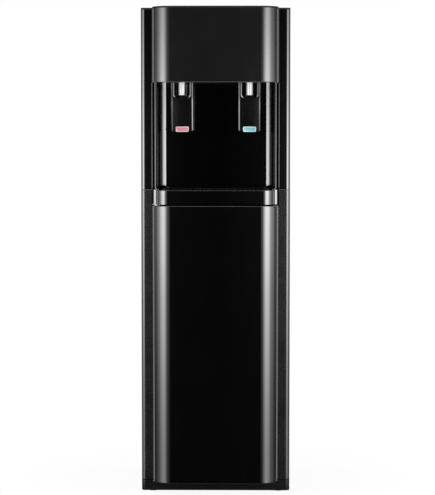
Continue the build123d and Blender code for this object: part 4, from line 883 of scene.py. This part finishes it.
def studioWorld():
    # the camera sees plain white, surfaces are lit evenly, and mirrors see the surround
    world = bpy.data.worlds.new("studio")
    tree = emptyTree(world)
    direction = addNode(tree, "TexCoord").outputs["Generated"]
    parts = addNode(tree, "SeparateXYZ", {"Vector": direction})
    behind = spread(tree, parts.outputs[1], 0, 1, -1, 1)
    above = spread(tree, parts.outputs[2], 0, 1, -1, 1)
    backward = rampFrom(tree, behind, surround["backward"], -1, 1)
    brightest = max(level for at, level in surround["upward"])
    upward = rampFrom(tree, above, [(at, level / brightest) for at, level in surround["upward"]], -1, 1)
    upward = addNode(tree, "Math", {0: upward, 1: brightest}, operation="MULTIPLY").outputs[0]
    mirrored = addNode(tree, "Math", {0: backward, 1: upward}, operation="MAXIMUM").outputs[0]
    rays = addNode(tree, "LightPath")
    shown = addNode(tree, "Math", {0: rays.outputs["Is Glossy Ray"], 1: rays.outputs["Is Transmission Ray"]},
                    operation="MAXIMUM").outputs[0]
    level = addNode(tree, "Mix", {0: shown, 2: surround["diffuse"], 3: mirrored}, data_type="FLOAT")
    level = addNode(tree, "Mix", {0: rays.outputs["Is Camera Ray"], 2: level.outputs[0], 3: 1.0},
                    data_type="FLOAT")
    back = addNode(tree, "Background", {"Strength": level.outputs[0], "Color": (1, 1, 1, 1)})
    tree.links.new(back.outputs[0], addNode(tree, "OutputWorld").inputs[0])
    bpy.context.scene.world = world


floorLook = dict(radius=0.62, solid=0.30, edge=0.98, steps=96, colour=(0.90, 0.90, 0.90), roughness=0.9,
                 glow=0.92)


def paleFloor():
    # a round pale floor that fades out to the white world and keeps the shadow
    mesh = bpy.data.meshes.new("floor")
    build = bmesh.new()
    bmesh.ops.create_circle(build, cap_ends=True, segments=floorLook["steps"], radius=floorLook["radius"])
    build.to_mesh(mesh)
    build.free()
    material, tree, shader = newTree("floor")
    coords = addNode(tree, "TexCoord").outputs["Object"]
    reach = addNode(tree, "VectorMath", {0: coords}, operation="LENGTH").outputs["Value"]
    fade = spread(tree, reach, 1, 0, floorLook["solid"], floorLook["radius"] * floorLook["edge"])
    shader.inputs["Base Color"].default_value = (*floorLook["colour"], 1)
    shader.inputs["Specular IOR Level"].default_value = 0.0
    shader.inputs["Roughness"].default_value = floorLook["roughness"]
    rays = addNode(tree, "LightPath").outputs["Is Camera Ray"]
    white = addNode(tree, "Emission", {"Strength": 1.0})
    share = addNode(tree, "Math", {0: rays, 1: floorLook["glow"]}, operation="MULTIPLY").outputs[0]
    lit = addNode(tree, "MixShader", {0: share, 1: shader.outputs[0], 2: white.outputs[0]})
    clear = addNode(tree, "BsdfTransparent")
    faded = addNode(tree, "MixShader", {0: fade, 1: clear.outputs[0], 2: lit.outputs[0]})
    output = [node for node in tree.nodes if node.type == "OUTPUT_MATERIAL"][0]
    tree.links.new(faded.outputs[0], output.inputs[0])
    mesh.materials.append(material)
    floor = bpy.data.objects.new("floor", mesh)
    bpy.context.collection.objects.link(floor)
    floor.visible_glossy = False


# painted shade: how far the shade card reaches past the cabinet and how dimly it glows
floorShadeLook = dict(margin=0.07, level=0.10)


def paintedFloorShade():
    # painted shade: a dimly glowing card that stands for the cabinet's own shade on the floor, and only
    # reflections see it
    low, high = cadBox
    grow = floorShadeLook["margin"]
    left, front, right, back = low[0] - grow, low[1] - grow, high[0] + grow, high[1] + grow
    mesh = bpy.data.meshes.new("mat")
    corners = [(left, front, 0), (right, front, 0), (right, back, 0), (left, back, 0)]
    mesh.from_pydata(corners, [], [(0, 1, 2, 3)])
    material = bpy.data.materials.new("mat")
    glowing(emptyTree(material), floorShadeLook["level"])
    mesh.materials.append(material)
    onlyMirrored("mat", mesh)


lamps = dict(
    left=dict(at=(-1.9, -2.2, 0.95), size=1.4, power=22),
    right=dict(at=(1.9, -2.2, 0.95), size=1.4, power=22),
    above=dict(at=(0.0, 0.2, 3.0), size=2.0, power=22),
)
lampAim = Vector((0, 0, 0.6))


def softLamps():
    for name, look in lamps.items():
        data = bpy.data.lights.new(name, "AREA")
        data.shape = "SQUARE"
        data.size = look["size"]
        data.energy = look["power"]
        lamp = bpy.data.objects.new(name, data)
        lamp.location = look["at"]
        aim = lampAim - Vector(look["at"])
        lamp.rotation_euler = aim.to_track_quat("-Z", "Y").to_euler()
        lamp.visible_glossy = False
        bpy.context.collection.objects.link(lamp)


addCamera()
softScreens()
studioWorld()
paleFloor()
paintedFloorShade()
softLamps()
bpy.context.scene.view_settings.view_transform = "Standard"
print("stage set")
